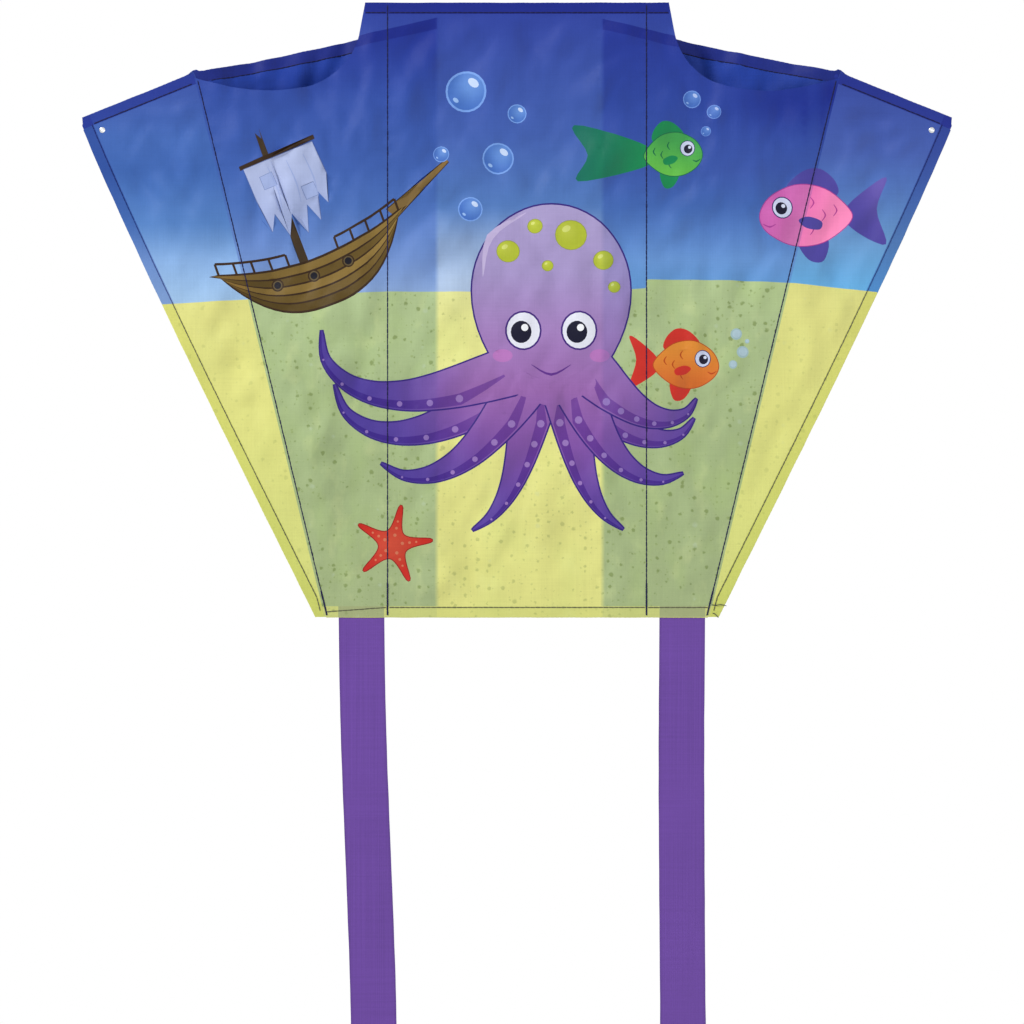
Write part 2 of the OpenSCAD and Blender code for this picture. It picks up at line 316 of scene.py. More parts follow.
def grow(poly, w):
    """An outline moved outwards by w."""
    p = np.array(poly, float)
    nxt, prv = np.roll(p, -1, 0), np.roll(p, 1, 0)
    area = np.sum(p[:, 0] * nxt[:, 1] - nxt[:, 0] * p[:, 1])
    t = nxt - prv
    t /= np.maximum(np.linalg.norm(t, axis=1, keepdims=True), 1e-9)
    return p + np.stack([t[:, 1], -t[:, 0]], -1) * (w if area > 0 else -w)


def inside(poly, p):
    """Non-zero winding test."""
    x, y = p[:, 0], p[:, 1]
    turns = np.zeros(len(p), int)
    a, b = poly, np.roll(poly, -1, 0)
    for (ax, ay), (bx, by) in zip(a, b):
        left = (bx - ax) * (y - ay) - (x - ax) * (by - ay)
        turns += ((ay <= y) & (by > y) & (left > 0)).astype(int)
        turns -= ((ay > y) & (by <= y) & (left < 0)).astype(int)
    return turns != 0


def grad(p0, c0, p1, c1):
    """A colour that runs from c0 at p0 to c1 at p1."""
    p0, p1 = np.array(p0, float), np.array(p1, float)
    c0, c1 = np.array(c0, float), np.array(c1, float)
    u = (p1 - p0) / np.sum((p1 - p0) ** 2)
    return lambda p: c0 + (c1 - c0) * smooth((p - p0) @ u)[..., None]


def glow(centre, radius, c0, c1):
    """A colour that runs from c0 at the centre to c1 at the radius."""
    centre, c0, c1 = np.array(centre, float), np.array(c0, float), np.array(c1, float)
    return lambda p: c0 + (c1 - c0) * smooth(np.linalg.norm(p - centre, axis=-1) / radius)[..., None]


# ---- the picture, in painter's order ---------------------------------------------------------
ART = []


def paint(poly, colour):
    """colour is sRGB or a function of the points."""
    ART.append((np.array(poly, float), colour))


def outlined(poly, colour, line, width=0.8):
    paint(grow(poly, width), line)
    paint(poly, colour)


def placed(points, x, d, facing=1, turn=0.0):
    """Points given forwards and down from (x, d), turned clockwise and facing right (1) or left (-1)."""
    p = np.array(points, float)
    c, s = math.cos(math.radians(turn)), math.sin(math.radians(turn))
    return np.stack([x + facing * (p[:, 0] * c - p[:, 1] * s), d + p[:, 0] * s + p[:, 1] * c], -1)


def stroke(points, width, colour, ends=0.3):
    """A line that is thickest in its middle."""
    paint(limb(points, [ends, width, ends], 4), colour)


def draw_ship():
    """A small wooden wreck: a crescent hull with portholes, a yard and a torn square sail."""
    x, d, tilt = -111.0, 147.0, -20.0
    dark, wood, cloth = (64, 48, 32), (150, 119, 62), (192, 200, 226)
    half_length, depth = 58.0, 27.0
    t = np.linspace(-1, 1, 25)
    deck = np.stack([t * half_length, -5 - 11 * t * t], -1)
    low = deck * (0.9, 1) + np.stack([0 * t, 3 + (depth - 3) * (1 - np.abs(t) ** 3)], -1)

    def set_down(points):
        return placed(points, x, d, 1, tilt)

    paint(set_down([(-8.6, 0), (-7.2, -82), (-4.8, -78), (-4.2, -84), (-3.4, 0)]), (74, 60, 44))
    paint(set_down([(-22, -67.5), (23, -70.5), (23, -68), (-22, -65)]), dark)
    torn = [(21, -67), (22.5, -48), (18, -32), (14.5, -40), (11, -24), (6.5, -35), (2, -20), (-3, -33),
            (-8, -22), (-12, -36), (-16.5, -27), (-19, -46), (-20, -65)]
    sailcloth = grad((-140, 84), cloth, (-122, 130), (176, 188, 222))
    outlined(set_down(torn), sailcloth, (106, 122, 168), 0.45)
    for u, v in ((-13, -58), (7, -45)):
        patch = set_down([(u, v), (u + 7, v - 0.6), (u + 7.6, v + 7), (u + 0.4, v + 7.4)])
        outlined(patch, (176, 190, 226), (120, 136, 182), 0.35)
    for u in (-7, 4, 14):
        stroke(set_down([(u, -62), (u + 1.2, -48), (u, -37)]), 0.9, (166, 180, 218))
    outlined(set_down([(47, -17), (88, -32), (88.6, -30.4), (51, -11)]), (132, 104, 60), dark, 0.5)
    for first, last in ((1, 9), (15, 23)):
        top = deck[first:last + 1] - (0, 7)
        paint(set_down(limb(top, [1.4, 1.4], 1)), dark)
        for post in range(first, last + 1, 2):
            (u, v), w = deck[post], 0.65
            paint(set_down([(u - w, v - 7), (u + w, v - 7), (u + w, v), (u - w, v)]), dark)
    paint(grow(set_down(np.concatenate([deck, low[::-1]])), 0.8), dark)
    tones = (0.94, 0.72, 1.0, 0.80, 0.66)
    cuts = np.linspace(0, 1, len(tones) + 1)
    for k, tone in enumerate(tones):
        upper, under = (set_down(lerp(deck, low, share)) for share in (cuts[k] + 0.02, cuts[k + 1] - 0.02))
        plank = np.array(wood) * tone
        colour = grad((-165, 165), plank * 0.88, (-66, 125), plank * 1.06)
        paint(np.concatenate([upper, under[::-1]]), colour)
    for share in (-0.42, -0.06, 0.3):
        hole = (share * half_length, -5 - 11 * share**2 + 8.5)
        for r, tone in ((3.5, dark), (2.7, (104, 88, 60)), (2.0, (34, 32, 44))):
            paint(ring(*set_down([hole])[0], r, n=16), tone)


def eye(x, d, r, look=0.0, rim=(44, 40, 96)):
    outlined(ring(x, d, r * 0.92, r), (228, 230, 242), rim, 0.1 * r)
    px, pd = x + look * r, d + 0.08 * r
    paint(ring(px, pd, r * 0.58, r * 0.62), (18, 28, 54))
    paint(ring(px + r * 0.2, pd - r * 0.24, r * 0.2), (244, 246, 250))


def draw_one_fish(x, d, length, height, facing, body, fin, line, trail=1.0, turn=0.0):
    """A plain fish: forked tail, rounded fins, an oval body with a few scales. trail lengthens the tail."""
    def at(points, n=0):
        """Points in shares of the length and the height, rounded off where n is given."""
        p = np.array(points) * (length, height)
        return placed(spline(p, n) if n else p, x, d, facing, turn)

    reach = -0.42 - 0.38 * trail
    fork = [(-0.36, -0.06), (-0.5, -0.3), (reach, -0.5 - 0.1 * trail), (reach * 0.88, -0.1), (reach, 0.46),
            (-0.5, 0.26), (-0.36, 0.06)]
    back_fin = [(0.22, -0.38), (0.08, -0.68), (-0.12, -0.74), (-0.28, -0.52), (-0.26, -0.3)]
    belly_fin = [(0.1, 0.4), (0.0, 0.7), (-0.16, 0.72), (-0.2, 0.36)]
    for shape in (fork, back_fin, belly_fin):
        paint(at(shape, 5), fin)
    oval = [(0.5, 0.03), (0.4, -0.28), (0.14, -0.48), (-0.16, -0.42), (-0.42, -0.1), (-0.42, 0.12),
            (-0.16, 0.42), (0.14, 0.48), (0.4, 0.3)]
    outlined(at(oval, 5), body, line, 0.45)
    for u, v in ((-0.02, -0.2), (-0.14, 0.0), (-0.02, 0.22), (-0.26, -0.08)):
        stroke(at([(u, v - 0.09), (u - 0.035, v), (u, v + 0.09)]), 0.8, line)
    paint(at([(0.1, 0.08), (0.0, 0.02), (-0.14, 0.1), (-0.12, 0.22), (0.02, 0.2)], 4), fin)
    stroke(at([(0.47, 0.14), (0.4, 0.19), (0.34, 0.15)]), 0.9, line)
    eye(*at([(0.27, -0.12)])[0], 0.165 * height, 0.1 * facing)


def draw_fish():
    green = grad((84, 98), (110, 206, 78), (90, 72), (72, 172, 84))
    green_fin = grad((30, 78), (10, 112, 96), (80, 86), (26, 146, 84))
    pink = grad((140, 112), (226, 102, 176), (178, 128), (248, 140, 188))
    pink_fin = grad((186, 118), (82, 74, 158), (206, 104), (104, 90, 172))
    orange = grad((92, 188), (255, 150, 58), (92, 216), (236, 112, 50))
    draw_one_fish(86, 84, 34, 25, 1, green, green_fin, (24, 112, 74), trail=3.0, turn=-4)
    draw_one_fish(162, 118, 54, 35, -1, pink, pink_fin, (176, 66, 146))
    draw_one_fish(93, 201, 38, 27, 1, orange, (228, 56, 48), (196, 74, 34))


def draw_star():
    x, d, turn, reach = -69.0, 301.0, -78.0, 22.0
    tips = []
    for k in range(5):
        for off, r in ((-36, 8.0), (-12, 11.5), (-2.6, reach - 1), (2.6, reach - 1), (12, 11.5)):
            a = math.radians(turn + 72 * k + off)
            tips.append((x + r * math.cos(a), d + r * math.sin(a)))
    outlined(spline(tips, 3), glow((x, d), 21, (238, 84, 62), (220, 50, 42)), (158, 34, 38), 0.5)
    for k in range(5):
        a = math.radians(turn + 72 * k)
        for r in (5.2, 9.2, 13):
            paint(ring(x + r * math.cos(a), d + r * math.sin(a), 1.15 - 0.04 * r, n=10), (242, 126, 92))


def draw_bubbles():
    for x, d, r in ((-28.4, 49, 11.4), (0, 61.4, 5.3), (-42.2, 84, 4.5), (-10.5, 86.3, 8.8),
                    (-26, 114.6, 6.9), (97.3, 53.4, 5.0), (109.5, 60.6, 4.0), (105, 71.3, 2.8)):
        film = glow((x + 0.25 * r, d - 0.3 * r), 1.3 * r, (104, 146, 214), (72, 112, 190))
        paint(ring(x, d, r), (120, 160, 228))
        paint(ring(x, d, r * 0.9), film)
        paint(ring(x + 0.36 * r, d - 0.42 * r, r * 0.3, r * 0.19, 38), (196, 214, 244))
        paint(ring(x - 0.5 * r, d + 0.42 * r, r * 0.16, r * 0.1, 38), (150, 184, 234))
    for x, d, r in ((122, 184, 3.2), (125.5, 194, 3.4), (120, 201, 2.4), (128, 188, 1.3)):
        paint(ring(x, d, r), (176, 204, 196))
        paint(ring(x + 0.2, d - 0.2, r * 0.72), (192, 216, 214))


OCTOPUS_X, FACE_D, ROOT_D = 19.0, 182.0, 212.0


def skin(p):
    """Lilac at the crown, warm violet where the arms start, indigo at their tips."""
    x, d = p[..., 0], p[..., 1]
    c = table([(110, (170, 158, 203)), (150, (164, 148, 197)), (185, (161, 126, 186)),
               (215, (152, 105, 172)), (245, (130, 86, 164)), (300, (100, 70, 156))], d)
    far = smooth((np.hypot(x - OCTOPUS_X, np.maximum(d - ROOT_D, 0)) - 34) / 74)[..., None]
    return lerp(c, np.array((84, 66, 154)), far)


def shade(p):
    """The skin in shadow, under the arms."""
    return skin(p) * np.array((0.78, 0.70, 0.89))


def arm_line(side, root, heading, length, bend, hook, steps=8):
    """Walks outwards from the body. heading is in degrees from straight down, and grows towards the tip."""
    t = (np.arange(steps) + 0.5) / steps
    a = np.radians(heading + bend * t + hook * t**3)
    walk = np.cumsum(np.stack([side * np.sin(a), np.cos(a)], -1), 0) * length / steps
    start = np.array((OCTOPUS_X + side * root, ROOT_D - 0.35 * root))
    return np.concatenate([[start], start + walk])


def draw_octopus():
    """Seen from the front: a tall rounded head, two eyes and four arms to each side, the tips curling up."""
    x, line = OCTOPUS_X, (62, 46, 126)
    a = np.arange(56) * 2 * math.pi / 56
    low = np.clip(np.sin(a), 0, 1)
    across, down = 44 * np.cos(a) * (1 - 0.24 * low**2), np.where(np.sin(a) > 0, 64, 48) * np.sin(a)
    head = np.stack([x + across, 160 + down], -1)
    paint(grow(head, 0.9), line)
    # root; bend and hook in degrees; then heading and length to the left, and to the right
    arms = [(7, -10, 60, (14, 94), (12, 92)), (16, 22, 104, (52, 126), (34, 82)),
            (12, 10, 92, (33, 108), (22, 92)), (22, 8, 112, (72, 128), (45, 72))]
    for root, bend, hook, *sides in arms:
        for side, (heading, length) in zip((-1, 1), sides):
            path = arm_line(side, root, heading, length, bend, hook)
            widths = 27 * (1 - np.linspace(0, 1, len(path)) ** 1.15) + 0.6
            outlined(limb(path, widths, 5), skin, line, 0.9)
            under = (-0.38, 1.0) if side < 0 else (1.0, -0.38)
            narrowed = widths * 0.93 * np.minimum(1, np.linspace(0, 4, len(path)))
            paint(limb(path, narrowed, 5, under), shade)
            for k in range(2, len(path) - 1):
                along = unit(path[k + 1] - path[k - 1])
                out = np.array((-along[1], along[0])) * (-side)
                sucker = ring(*(path[k] - out * widths[k] * 0.30), widths[k] * 0.085 + 0.25, n=10)
                paint(sucker, (150, 118, 184))
    paint(ring(x, ROOT_D - 1, 25, 10), skin)
    paint(head, skin)
    stroke([(x - 38, 152), (x - 34, 130), (x - 14, 116.5)], 4.0, (192, 178, 217))
    spots = ((-24, 138, 6.2), (-9, 124, 4.0), (11, 129, 8.6), (29, 143, 5.4), (-2, 146, 3.0), (35, 158, 3.2))
    for u, d, r in spots:
        colour = glow((x + u - 0.2 * r, d - 0.3 * r), r, (192, 202, 76), (176, 188, 60))
        outlined(ring(x + u, d, r, r * 0.94), colour, (146, 150, 70), 0.35)
        paint(ring(x + u - 0.3 * r, d - 0.4 * r, 0.3 * r, 0.2 * r, -30, 12), (214, 222, 120))
    for side in (-1, 1):
        paint(ring(x + side * 27, FACE_D + 14, 5.6, 3.6), (180, 118, 186))
        eye(x + side * 15.5, FACE_D, 10.0, -0.12, (70, 46, 124))
    stroke([(x - 11, 201), (x, 206.5), (x + 11, 201)], 1.5, (98, 56, 138))


draw_ship()
draw_bubbles()
draw_fish()
draw_star()
draw_octopus()


# ---- materials -------------------------------------------------------------------------------
def node(tree, kind, sockets=None, out=0, **props):
    """Adds a node and returns one of its outputs; a socket takes a value, or a link from another output."""
    n = tree.nodes.new("ShaderNode" + kind)
    for k, v in props.items():
        setattr(n, k, v)
    for k, v in (sockets or {}).items():
        if isinstance(v, bpy.types.NodeSocket):
            tree.links.new(v, n.inputs[k])
        else:
            n.inputs[k].default_value = v
    return n.outputs[out]


def new_material(name):
    mat = bpy.data.materials.new(name)
    mat.use_nodes = True
    return mat, mat.node_tree, mat.node_tree.nodes["Principled BSDF"]


NO_STRETCH = (1, 1, 1)
WARP, WEFT = (1500, 35, 35), (35, 35, 1500)      # how much finer the noise is across a thread than along it
BUMP_STRENGTH = 0.6
CLOTH_RELIEF, THREAD_RELIEF, METAL_RELIEF = 0.00016, 0.00012, 0.00003


class Surface:
    """A procedural material. Its methods add nodes and return their outputs."""

    def __init__(self, name, roughness, sheen=0.0, specular=0.5):
        self.mat, self.tree, self.shader = new_material(name)
        inputs = self.shader.inputs
        inputs["Roughness"].default_value = roughness
        inputs["Sheen Weight"].default_value = sheen
        inputs["Specular IOR Level"].default_value = specular
        self.rest = self.attribute("rest", "Vector")

    def node(self, kind, sockets=None, out=0, **props):
        return node(self.tree, kind, sockets, out, **props)

    def attribute(self, name, out):
        return self.node("Attribute", attribute_name=name, out=out)

    def calc(self, op, *values):
        return self.node("Math", dict(enumerate(values)), operation=op)

    def times(self, *values):
        return self.calc("MULTIPLY", *values)

    def total(self, first, *others):
        for term in others:
            first = self.calc("ADD", first, term)
        return first

    def noise(self, scale, stretch=NO_STRETCH, detail=2.0):
        vector = self.rest
        if stretch != NO_STRETCH:
            vector = self.node("VectorMath", {0: vector, 1: stretch}, operation="MULTIPLY")
        return self.node("TexNoise", {"Vector": vector, "Scale": scale, "Detail": detail})

    def remap(self, value, **limits):
        """limits are From_Min, From_Max, To_Min and To_Max, each 0 or 1 where it isn't given."""
        return self.node("MapRange", {"Value": value, **{k.replace("_", " "): v for k, v in limits.items()}})

    def spread(self, value, low, high):
        """Noise, which stays near one half, spread over a range."""
        return self.remap(value, From_Min=0.25, From_Max=0.75, To_Min=low, To_Max=high)

    def weave(self, pitch):
        """The height of a plain weave that repeats every pitch mm."""
        split = self.node("SeparateXYZ", {0: self.rest}).node
        turns = 2 * math.pi / (pitch * MM)
        return self.times(*(self.calc("SINE", self.times(split.outputs[k], turns)) for k in (0, 2)))

    def over(self, below, mask, tone):
        """Lays a tone over a colour where mask is high."""
        mix = self.tree.nodes.new("ShaderNodeMix")
        mix.data_type = "RGBA"
        self.tree.links.new(mask, mix.inputs["Factor"])
        self.tree.links.new(below, mix.inputs["A"])
        mix.inputs["B"].default_value = (*tone, 1)
        return mix.outputs["Result"]

    def finish(self, colour, factor, height, relief, rough):
        """Joins up the shader: a colour times a factor, a bump and a roughness."""
        bump = self.node("Bump", {"Height": height, "Strength": BUMP_STRENGTH, "Distance": relief})
        scaled = self.node("VectorMath", {0: colour, "Scale": factor}, operation="SCALE")
        for output, socket in ((scaled, "Base Color"), (bump, "Normal"), (rough, "Roughness")):
            self.tree.links.new(output, self.shader.inputs[socket])
        return self.mat


# The sand's print. Smears: how close together, the noise they start and end at, how strongly, their tone.
SMEARS = [(48.0, 0.47, 0.72, 0.26, (0.34, 0.47, 0.13)), (85.0, 0.54, 0.75, 0.22, (0.70, 0.76, 0.34))]
# Grains: how close together, which share of the places is left empty, how large, how strongly, their tone.
GRAINS = [(150.0, 0.3, 0.3, 0.7, (0.16, 0.22, 0.06)), (330.0, 0.55, 0.5, 0.55, (0.22, 0.29, 0.09)),
          (80.0, 0.72, 0.45, 0.4, (0.40, 0.49, 0.34))]
GRAIN_WANDER = 0.0018                            # metres by which noise moves the grains' places


def speckle(s, colour):
    """Smears and grains of sand over a colour, where the attribute "sand" says."""
    sand = s.attribute("sand", "Fac")
    drift = s.remap(s.noise(26.0), From_Min=0.22, From_Max=0.5)
    wobble = s.node("TexNoise", {"Vector": s.rest, "Scale": 700.0, "Detail": 2.0}, out="Color")
    strayed = s.node("VectorMath", {0: wobble, 1: [GRAIN_WANDER] * 3, 2: s.rest}, operation="MULTIPLY_ADD")
    split = s.node("SeparateXYZ", {0: strayed}).node
    level = s.node("CombineXYZ", {0: split.outputs[0], 1: split.outputs[2]})
    for scale, low, high, strength, tone in SMEARS:
        smear = s.remap(s.noise(scale, (1.0, 1.0, 0.6), 5.0), From_Min=low, From_Max=high, To_Max=strength)
        colour = s.over(colour, s.times(smear, sand), tone)
    for scale, empty, size, strength, tone in GRAINS:
        cell = s.node("TexVoronoi", {"Scale": scale, "Vector": level}, voronoi_dimensions="2D").node
        chance = s.node("SeparateColor", {0: cell.outputs["Color"]})
        reach = s.times(s.times(s.calc("SUBTRACT", chance, empty), drift), size)
        inside_grain = s.calc("SUBTRACT", reach, cell.outputs["Distance"])
        grain = s.remap(inside_grain, From_Min=-0.03, From_Max=0.06, To_Max=strength)
        colour = s.over(colour, s.times(grain, sand), tone)
    return colour


def cloth_material(name, pitch=0.55, roughness=0.5, speckled=False, slub=0.05):
    """Light nylon: a plain weave with threads of uneven colour, painted light and shade of soft folds, faint
    creases and a soft gloss.
    """
    s = Surface(name, roughness, 0.04, 0.2)
    colour = s.attribute("print", "Color")
    weave, across, along = s.weave(pitch), s.noise(1.0, WEFT, 1.0), s.noise(1.0, WARP, 1.0)
    mottle, crinkle = s.noise(28.0, detail=4.0), s.noise(210.0, detail=3.0)
    drawn = s.noise(60.0, (1.0, 1.0, 0.25), 3.0)
    uneven = [s.spread(threads, -slub / 2, slub / 2) for threads in (across, along)]
    # the mottle and the long drawn streaks lighten and darken the colour as the cloth's soft folds would:
    # painted light and shade, besides uneven dye
    uneven += [s.spread(mottle, -0.045, 0.045), s.spread(drawn, -0.035, 0.035)]
    factor = s.total(1.0, *uneven, s.times(weave, 0.018))
    height = s.total(s.times(weave, 0.25), s.times(across, 0.5), s.times(along, 0.5), s.times(crinkle, 1.6))
    if speckled:
        colour = speckle(s, colour)
    rough = s.spread(mottle, roughness - 0.05, roughness + 0.07)
    return s.finish(colour, factor, height, CLOTH_RELIEF, rough)


def ribbon_material():
    """Closely woven ribbon, with long streaks down its length."""
    s = Surface("ribbon_cloth", 0.45, 0.06, 0.25)
    weave, mottle = s.weave(0.7), s.noise(17.0, detail=3.0)
    along, across = s.noise(1.0, (1900, 20, 9), 1.0), s.noise(1.0, (20, 20, 1300), 1.0)
    uneven = [s.spread(along, -0.09, 0.09), s.spread(across, -0.05, 0.05), s.spread(mottle, -0.05, 0.05)]
    factor = s.total(1.0, *uneven, s.times(weave, 0.02))
    height = s.total(s.times(weave, 0.35), along, s.times(across, 0.6))
    rough = s.spread(mottle, 0.4, 0.52)
    return s.finish(s.attribute("print", "Color"), factor, height, CLOTH_RELIEF, rough)


def plain_tone(s, tone):
    output = s.node("RGB")
    output.default_value = (*tone, 1)
    return output


def thread_material(name, colour=None):
    """Twisted thread, of one colour or of what is painted on its mesh."""
    s = Surface(name, 0.6, 0.05, 0.2)
    tone = plain_tone(s, lin(colour)) if colour else s.attribute("print", "Color")
    twist, fade = s.noise(1900.0), s.noise(60.0)
    factor = s.total(1.0, s.spread(twist, -0.18, 0.18), s.spread(fade, -0.12, 0.12))
    return s.finish(tone, factor, twist, THREAD_RELIEF, s.spread(twist, 0.5, 0.7))


def metal_material():
    """Plated metal with rub marks round the eyelet."""
    s = Surface("eyelet_metal", 0.3)
    s.shader.inputs["Metallic"].default_value = 0.9
    marks, cloud = s.noise(2600.0, (1, 1, 0.2), 3.0), s.noise(700.0)
    factor = s.total(1.0, s.spread(marks, -0.06, 0.04), s.spread(cloud, -0.05, 0.05))
    tone = plain_tone(s, (0.84, 0.86, 0.86))
    return s.finish(tone, factor, marks, METAL_RELIEF, s.spread(cloud, 0.24, 0.42))


PRINTED = cloth_material("printed_nylon", speckled=True)
PLAIN = cloth_material("tunnel_nylon", roughness=0.52, slub=0.07)
RIBBON = ribbon_material()
NAVY = thread_material("navy_thread", (20, 28, 72))
SMOKE = thread_material("smoke_thread")
SMOKE_TONE = (0.46, 0.46, 0.62)
METAL = metal_material()


# ---- meshes ----------------------------------------------------------------------------------
def put(mesh, name, kind, domain, values):
    """Stores values on a mesh as an attribute."""
    key = {"FLOAT": "value", "FLOAT_VECTOR": "vector", "FLOAT_COLOR": "color"}[kind]
    layer = mesh.attributes.new(name, kind, domain)
    layer.data.foreach_set(key, np.ascontiguousarray(values, np.float32).ravel())


def piece(name, verts, faces, body, slot, material, stands_for=(), colours=None, sand=None, sharp=42):
    """A mesh from points in mm. colours has one sRGB colour for each corner of each face, in order."""
    verts = np.asarray(verts, float) * MM
    mesh = bpy.data.meshes.new(name)
    mesh.from_pydata(verts.tolist(), [], [[int(i) for i in f] for f in faces])
    obj = bpy.data.objects.new(name, mesh)
    bpy.context.scene.collection.objects.link(obj)
    mesh.materials.append(material)
    mesh.shade_smooth()
    mesh.set_sharp_from_angle(angle=math.radians(sharp))
    put(mesh, "rest", "FLOAT_VECTOR", "POINT", verts)
    if colours is not None:
        colours = np.asarray(colours, float).reshape(-1, 3)
        opaque = np.ones((len(colours), 1))
        put(mesh, "print", "FLOAT_COLOR", "CORNER", np.concatenate([lin(colours), opaque], 1))
    if sand is not None:
        put(mesh, "sand", "FLOAT", "FACE", sand)
    if body:
        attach(obj, body)
    if stands_for:
        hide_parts(*stands_for)
    return obj


def shell(front, back, faces):
    """Two layers and the rim that joins them: points, and the three lists of faces."""
    n = len(front)
    ends = dict.fromkeys((int(a), int(b)) for f in faces for a, b in zip(f, np.roll(f, -1)))
    rim = [[b, a, a + n, b + n] for a, b in ends if (b, a) not in ends]
    second = [[int(i) + n for i in f[::-1]] for f in faces]
    return np.concatenate([front, back]), [list(f) for f in faces], second, rim


def tube_faces(rings, n, start=0, closed=False):
    """Faces round a tube of rings of n points each, and its two ends where it isn't closed on itself."""
    faces = []
    for r in range(rings if closed else rings - 1):
        near, far = start + r * n, start + (r + 1) % rings * n
        faces += [[near + i, near + (i + 1) % n, far + (i + 1) % n, far + i] for i in range(n)]
    if not closed:
        last = start + (rings - 1) * n
        faces += [list(range(start, start + n))[::-1], list(range(last, last + n))]
    return faces


def reverse_side(c):
    """The print as it shows through on the back."""
    grey = c.mean(-1, keepdims=True)
    return lerp(lerp(c, grey, 0.10), 236.0, 0.10)


def resample(points, step):
    """The same line with points about a step apart."""
    p = np.array(points, float)
    out = []
    for a, b in zip(p[:-1], p[1:]):
        n = max(1, round(np.linalg.norm(b - a) / step))
        out += [lerp(a, b, k / n) for k in range(n)]
    return np.array(out + [p[-1]])


def strip_line(a, b, inset):
    """A line from a to b moved to its right-hand side, seen with the drop pointing down."""
    u = unit(np.subtract(b, a))
    return np.array([a, b]) + np.array([-u[1], u[0]]) * inset


def toward(a, b, distance):
    """The point at a distance from a on the way to b."""
    return a + unit(np.subtract(b, a)) * distance


GRID = 3.2                   # how far apart the points of a panel lie, both in rows and along its edges
ROW_SHARE = 0.87             # the rows' distance as a share of that, for nearly even-sided triangles
NO_AREA = 1e-5               # square millimetres under which a triangle is left out


def cut(outline, paths, holes):
    """Cuts a panel into triangles with edges along every path: points, faces, and area in square metres."""
    points, edges = [], []
    for path, closed in paths:
        start = len(points)
        points += list(path)
        edges += [(start + i, start + i + 1) for i in range(len(path) - 1)]
        if closed:
            edges.append((start + len(path) - 1, start))
    lo, hi = outline.min(0), outline.max(0)
    xs, ds = np.arange(lo[0], hi[0], GRID), np.arange(lo[1], hi[1], GRID * ROW_SHARE)
    grid = np.array([(x + (k % 2) * GRID / 2, d) for k, d in enumerate(ds) for x in xs])
    grid = grid[inside(grow(outline, -1.2), grid)]
    points = np.concatenate([np.array(points), grid]) * (1, -1)
    out = delaunay_2d_cdt([Vector(p) for p in points], edges, [], 0, 2e-3, False)
    v, tri = np.array([tuple(p) for p in out[0]]) * (1, -1), np.array(out[2])
    a, b, c = (v[tri[:, k]] for k in range(3))
    area = np.abs((b - a)[:, 0] * (c - a)[:, 1] - (b - a)[:, 1] * (c - a)[:, 0]) / 2
    mid = v[tri].mean(1)
    keep = inside(outline, mid) & (area > NO_AREA)
    for hole in holes:
        keep &= ~inside(hole, mid)
    tri = tri[keep]
    used = np.unique(tri)
    index = np.full(len(v), -1)
    index[used] = np.arange(len(used))
    return v[used], index[tri], area[keep].sum() * MM * MM


def figures_at(mid):
    """The place in ART of the uppermost figure at each point, or -1 where there is none."""
    top = np.full(len(mid), -1)
    for i, (poly, _) in enumerate(ART):
        near = np.where((mid > poly.min(0)).all(1) & (mid < poly.max(0)).all(1))[0]
        if len(near):
            top[near[inside(poly, mid[near])]] = i
    return top


def print_colours(corners, mid, top, zone, keel):
    """What is printed at each corner of each face, where top says which figure the face shows."""
    colours = np.zeros(corners.shape[:2] + (3,))
    # how much of the second layer's painted shade each corner takes
    share = layer_shade_share(corners, mid, zone)
    for half in (mid[:, 0] < 0, mid[:, 0] >= 0):
        pick = half & (top < 0)
        if pick.any():
            sandy = on_sand(mid[pick])[:, None, None]
            near, far = (np.where(sandy, *base_paint(corners[pick], z)[::-1])
                         for z in (("keel", "keel") if keel else ("centre", "tunnel")))
            colours[pick] = lerp(near, far, share[pick])
    for i, (_, colour) in enumerate(ART):
        pick = top == i
        if pick.any():
            plain = colour(corners[pick]) if callable(colour) else np.broadcast_to(colour, (pick.sum(), 3, 3))
            colours[pick] = lerp(plain, second_layer_shaded(plain), share[pick])
    return colours


def print_sheet(name, outline, guides, keel, body, node_name, zone_of, holes=()):
    """Cuts a panel along everything printed on it, so that each colour ends at an edge of the mesh."""
    lo, hi = outline.min(0), outline.max(0)
    paths = [(outline, True)] + [(resample(g, GRID), False) for g in guides] + [(h, True) for h in holes]
    paths += [(poly, True) for poly, _ in ART if (poly.max(0) > lo).all() and (poly.min(0) < hi).all()]
    v, tri, area = cut(outline, paths + [(resample(HORIZON, GRID), False)], holes)
    corners, mid = v[tri], v[tri].mean(1)
    zone, hem = zone_of(mid)
    top = figures_at(mid)
    # the hems' painted shade laid over the print
    colours = print_colours(corners, mid, top, zone, keel) * hem[:, None, :]
    # painted shade of the fold caught behind the right seam's top, and of the streaks below it
    if not keel:
        colours *= caught_fold_shade(corners)
    y = wave(v, keel)
    front, back = (np.stack([v[:, 0], y + side, -v[:, 1]], -1) for side in (FRONT, BACK))
    verts, f, b, rim = shell(front, back, tri)
    at = {int(i): c for face, tones in zip(tri, colours) for i, c in zip(face, tones)}
    rim_colours = [at[i % len(front)] * 0.92 for q in rim for i in q]
    behind = reverse_side(colours[:, ::-1])
    all_colours = np.concatenate([colours.reshape(-1, 3), behind.reshape(-1, 3), np.array(rim_colours)])
    speckled = (on_sand(mid) & (top < 0)) * (0.25 if keel else np.where(zone == "tunnel", 1.0, 0.5))
    sand_face = np.concatenate([speckled, speckled * 0.4, np.zeros(len(rim))])
    obj = piece(name, verts, f + b + rim, body, "printed_sail", PRINTED, [node_name], all_colours, sand_face)
    return obj, area


def mirrored(points):
    return np.array(points, float) * (-1, 1)


SCOOP_FOOT = (seam_x(SCOOP_END), SCOOP_END)
SCOOP = [SHOULDER, (94.0, 42.0), (122.0, SCOOP_DROP), SCOOP_FOOT]


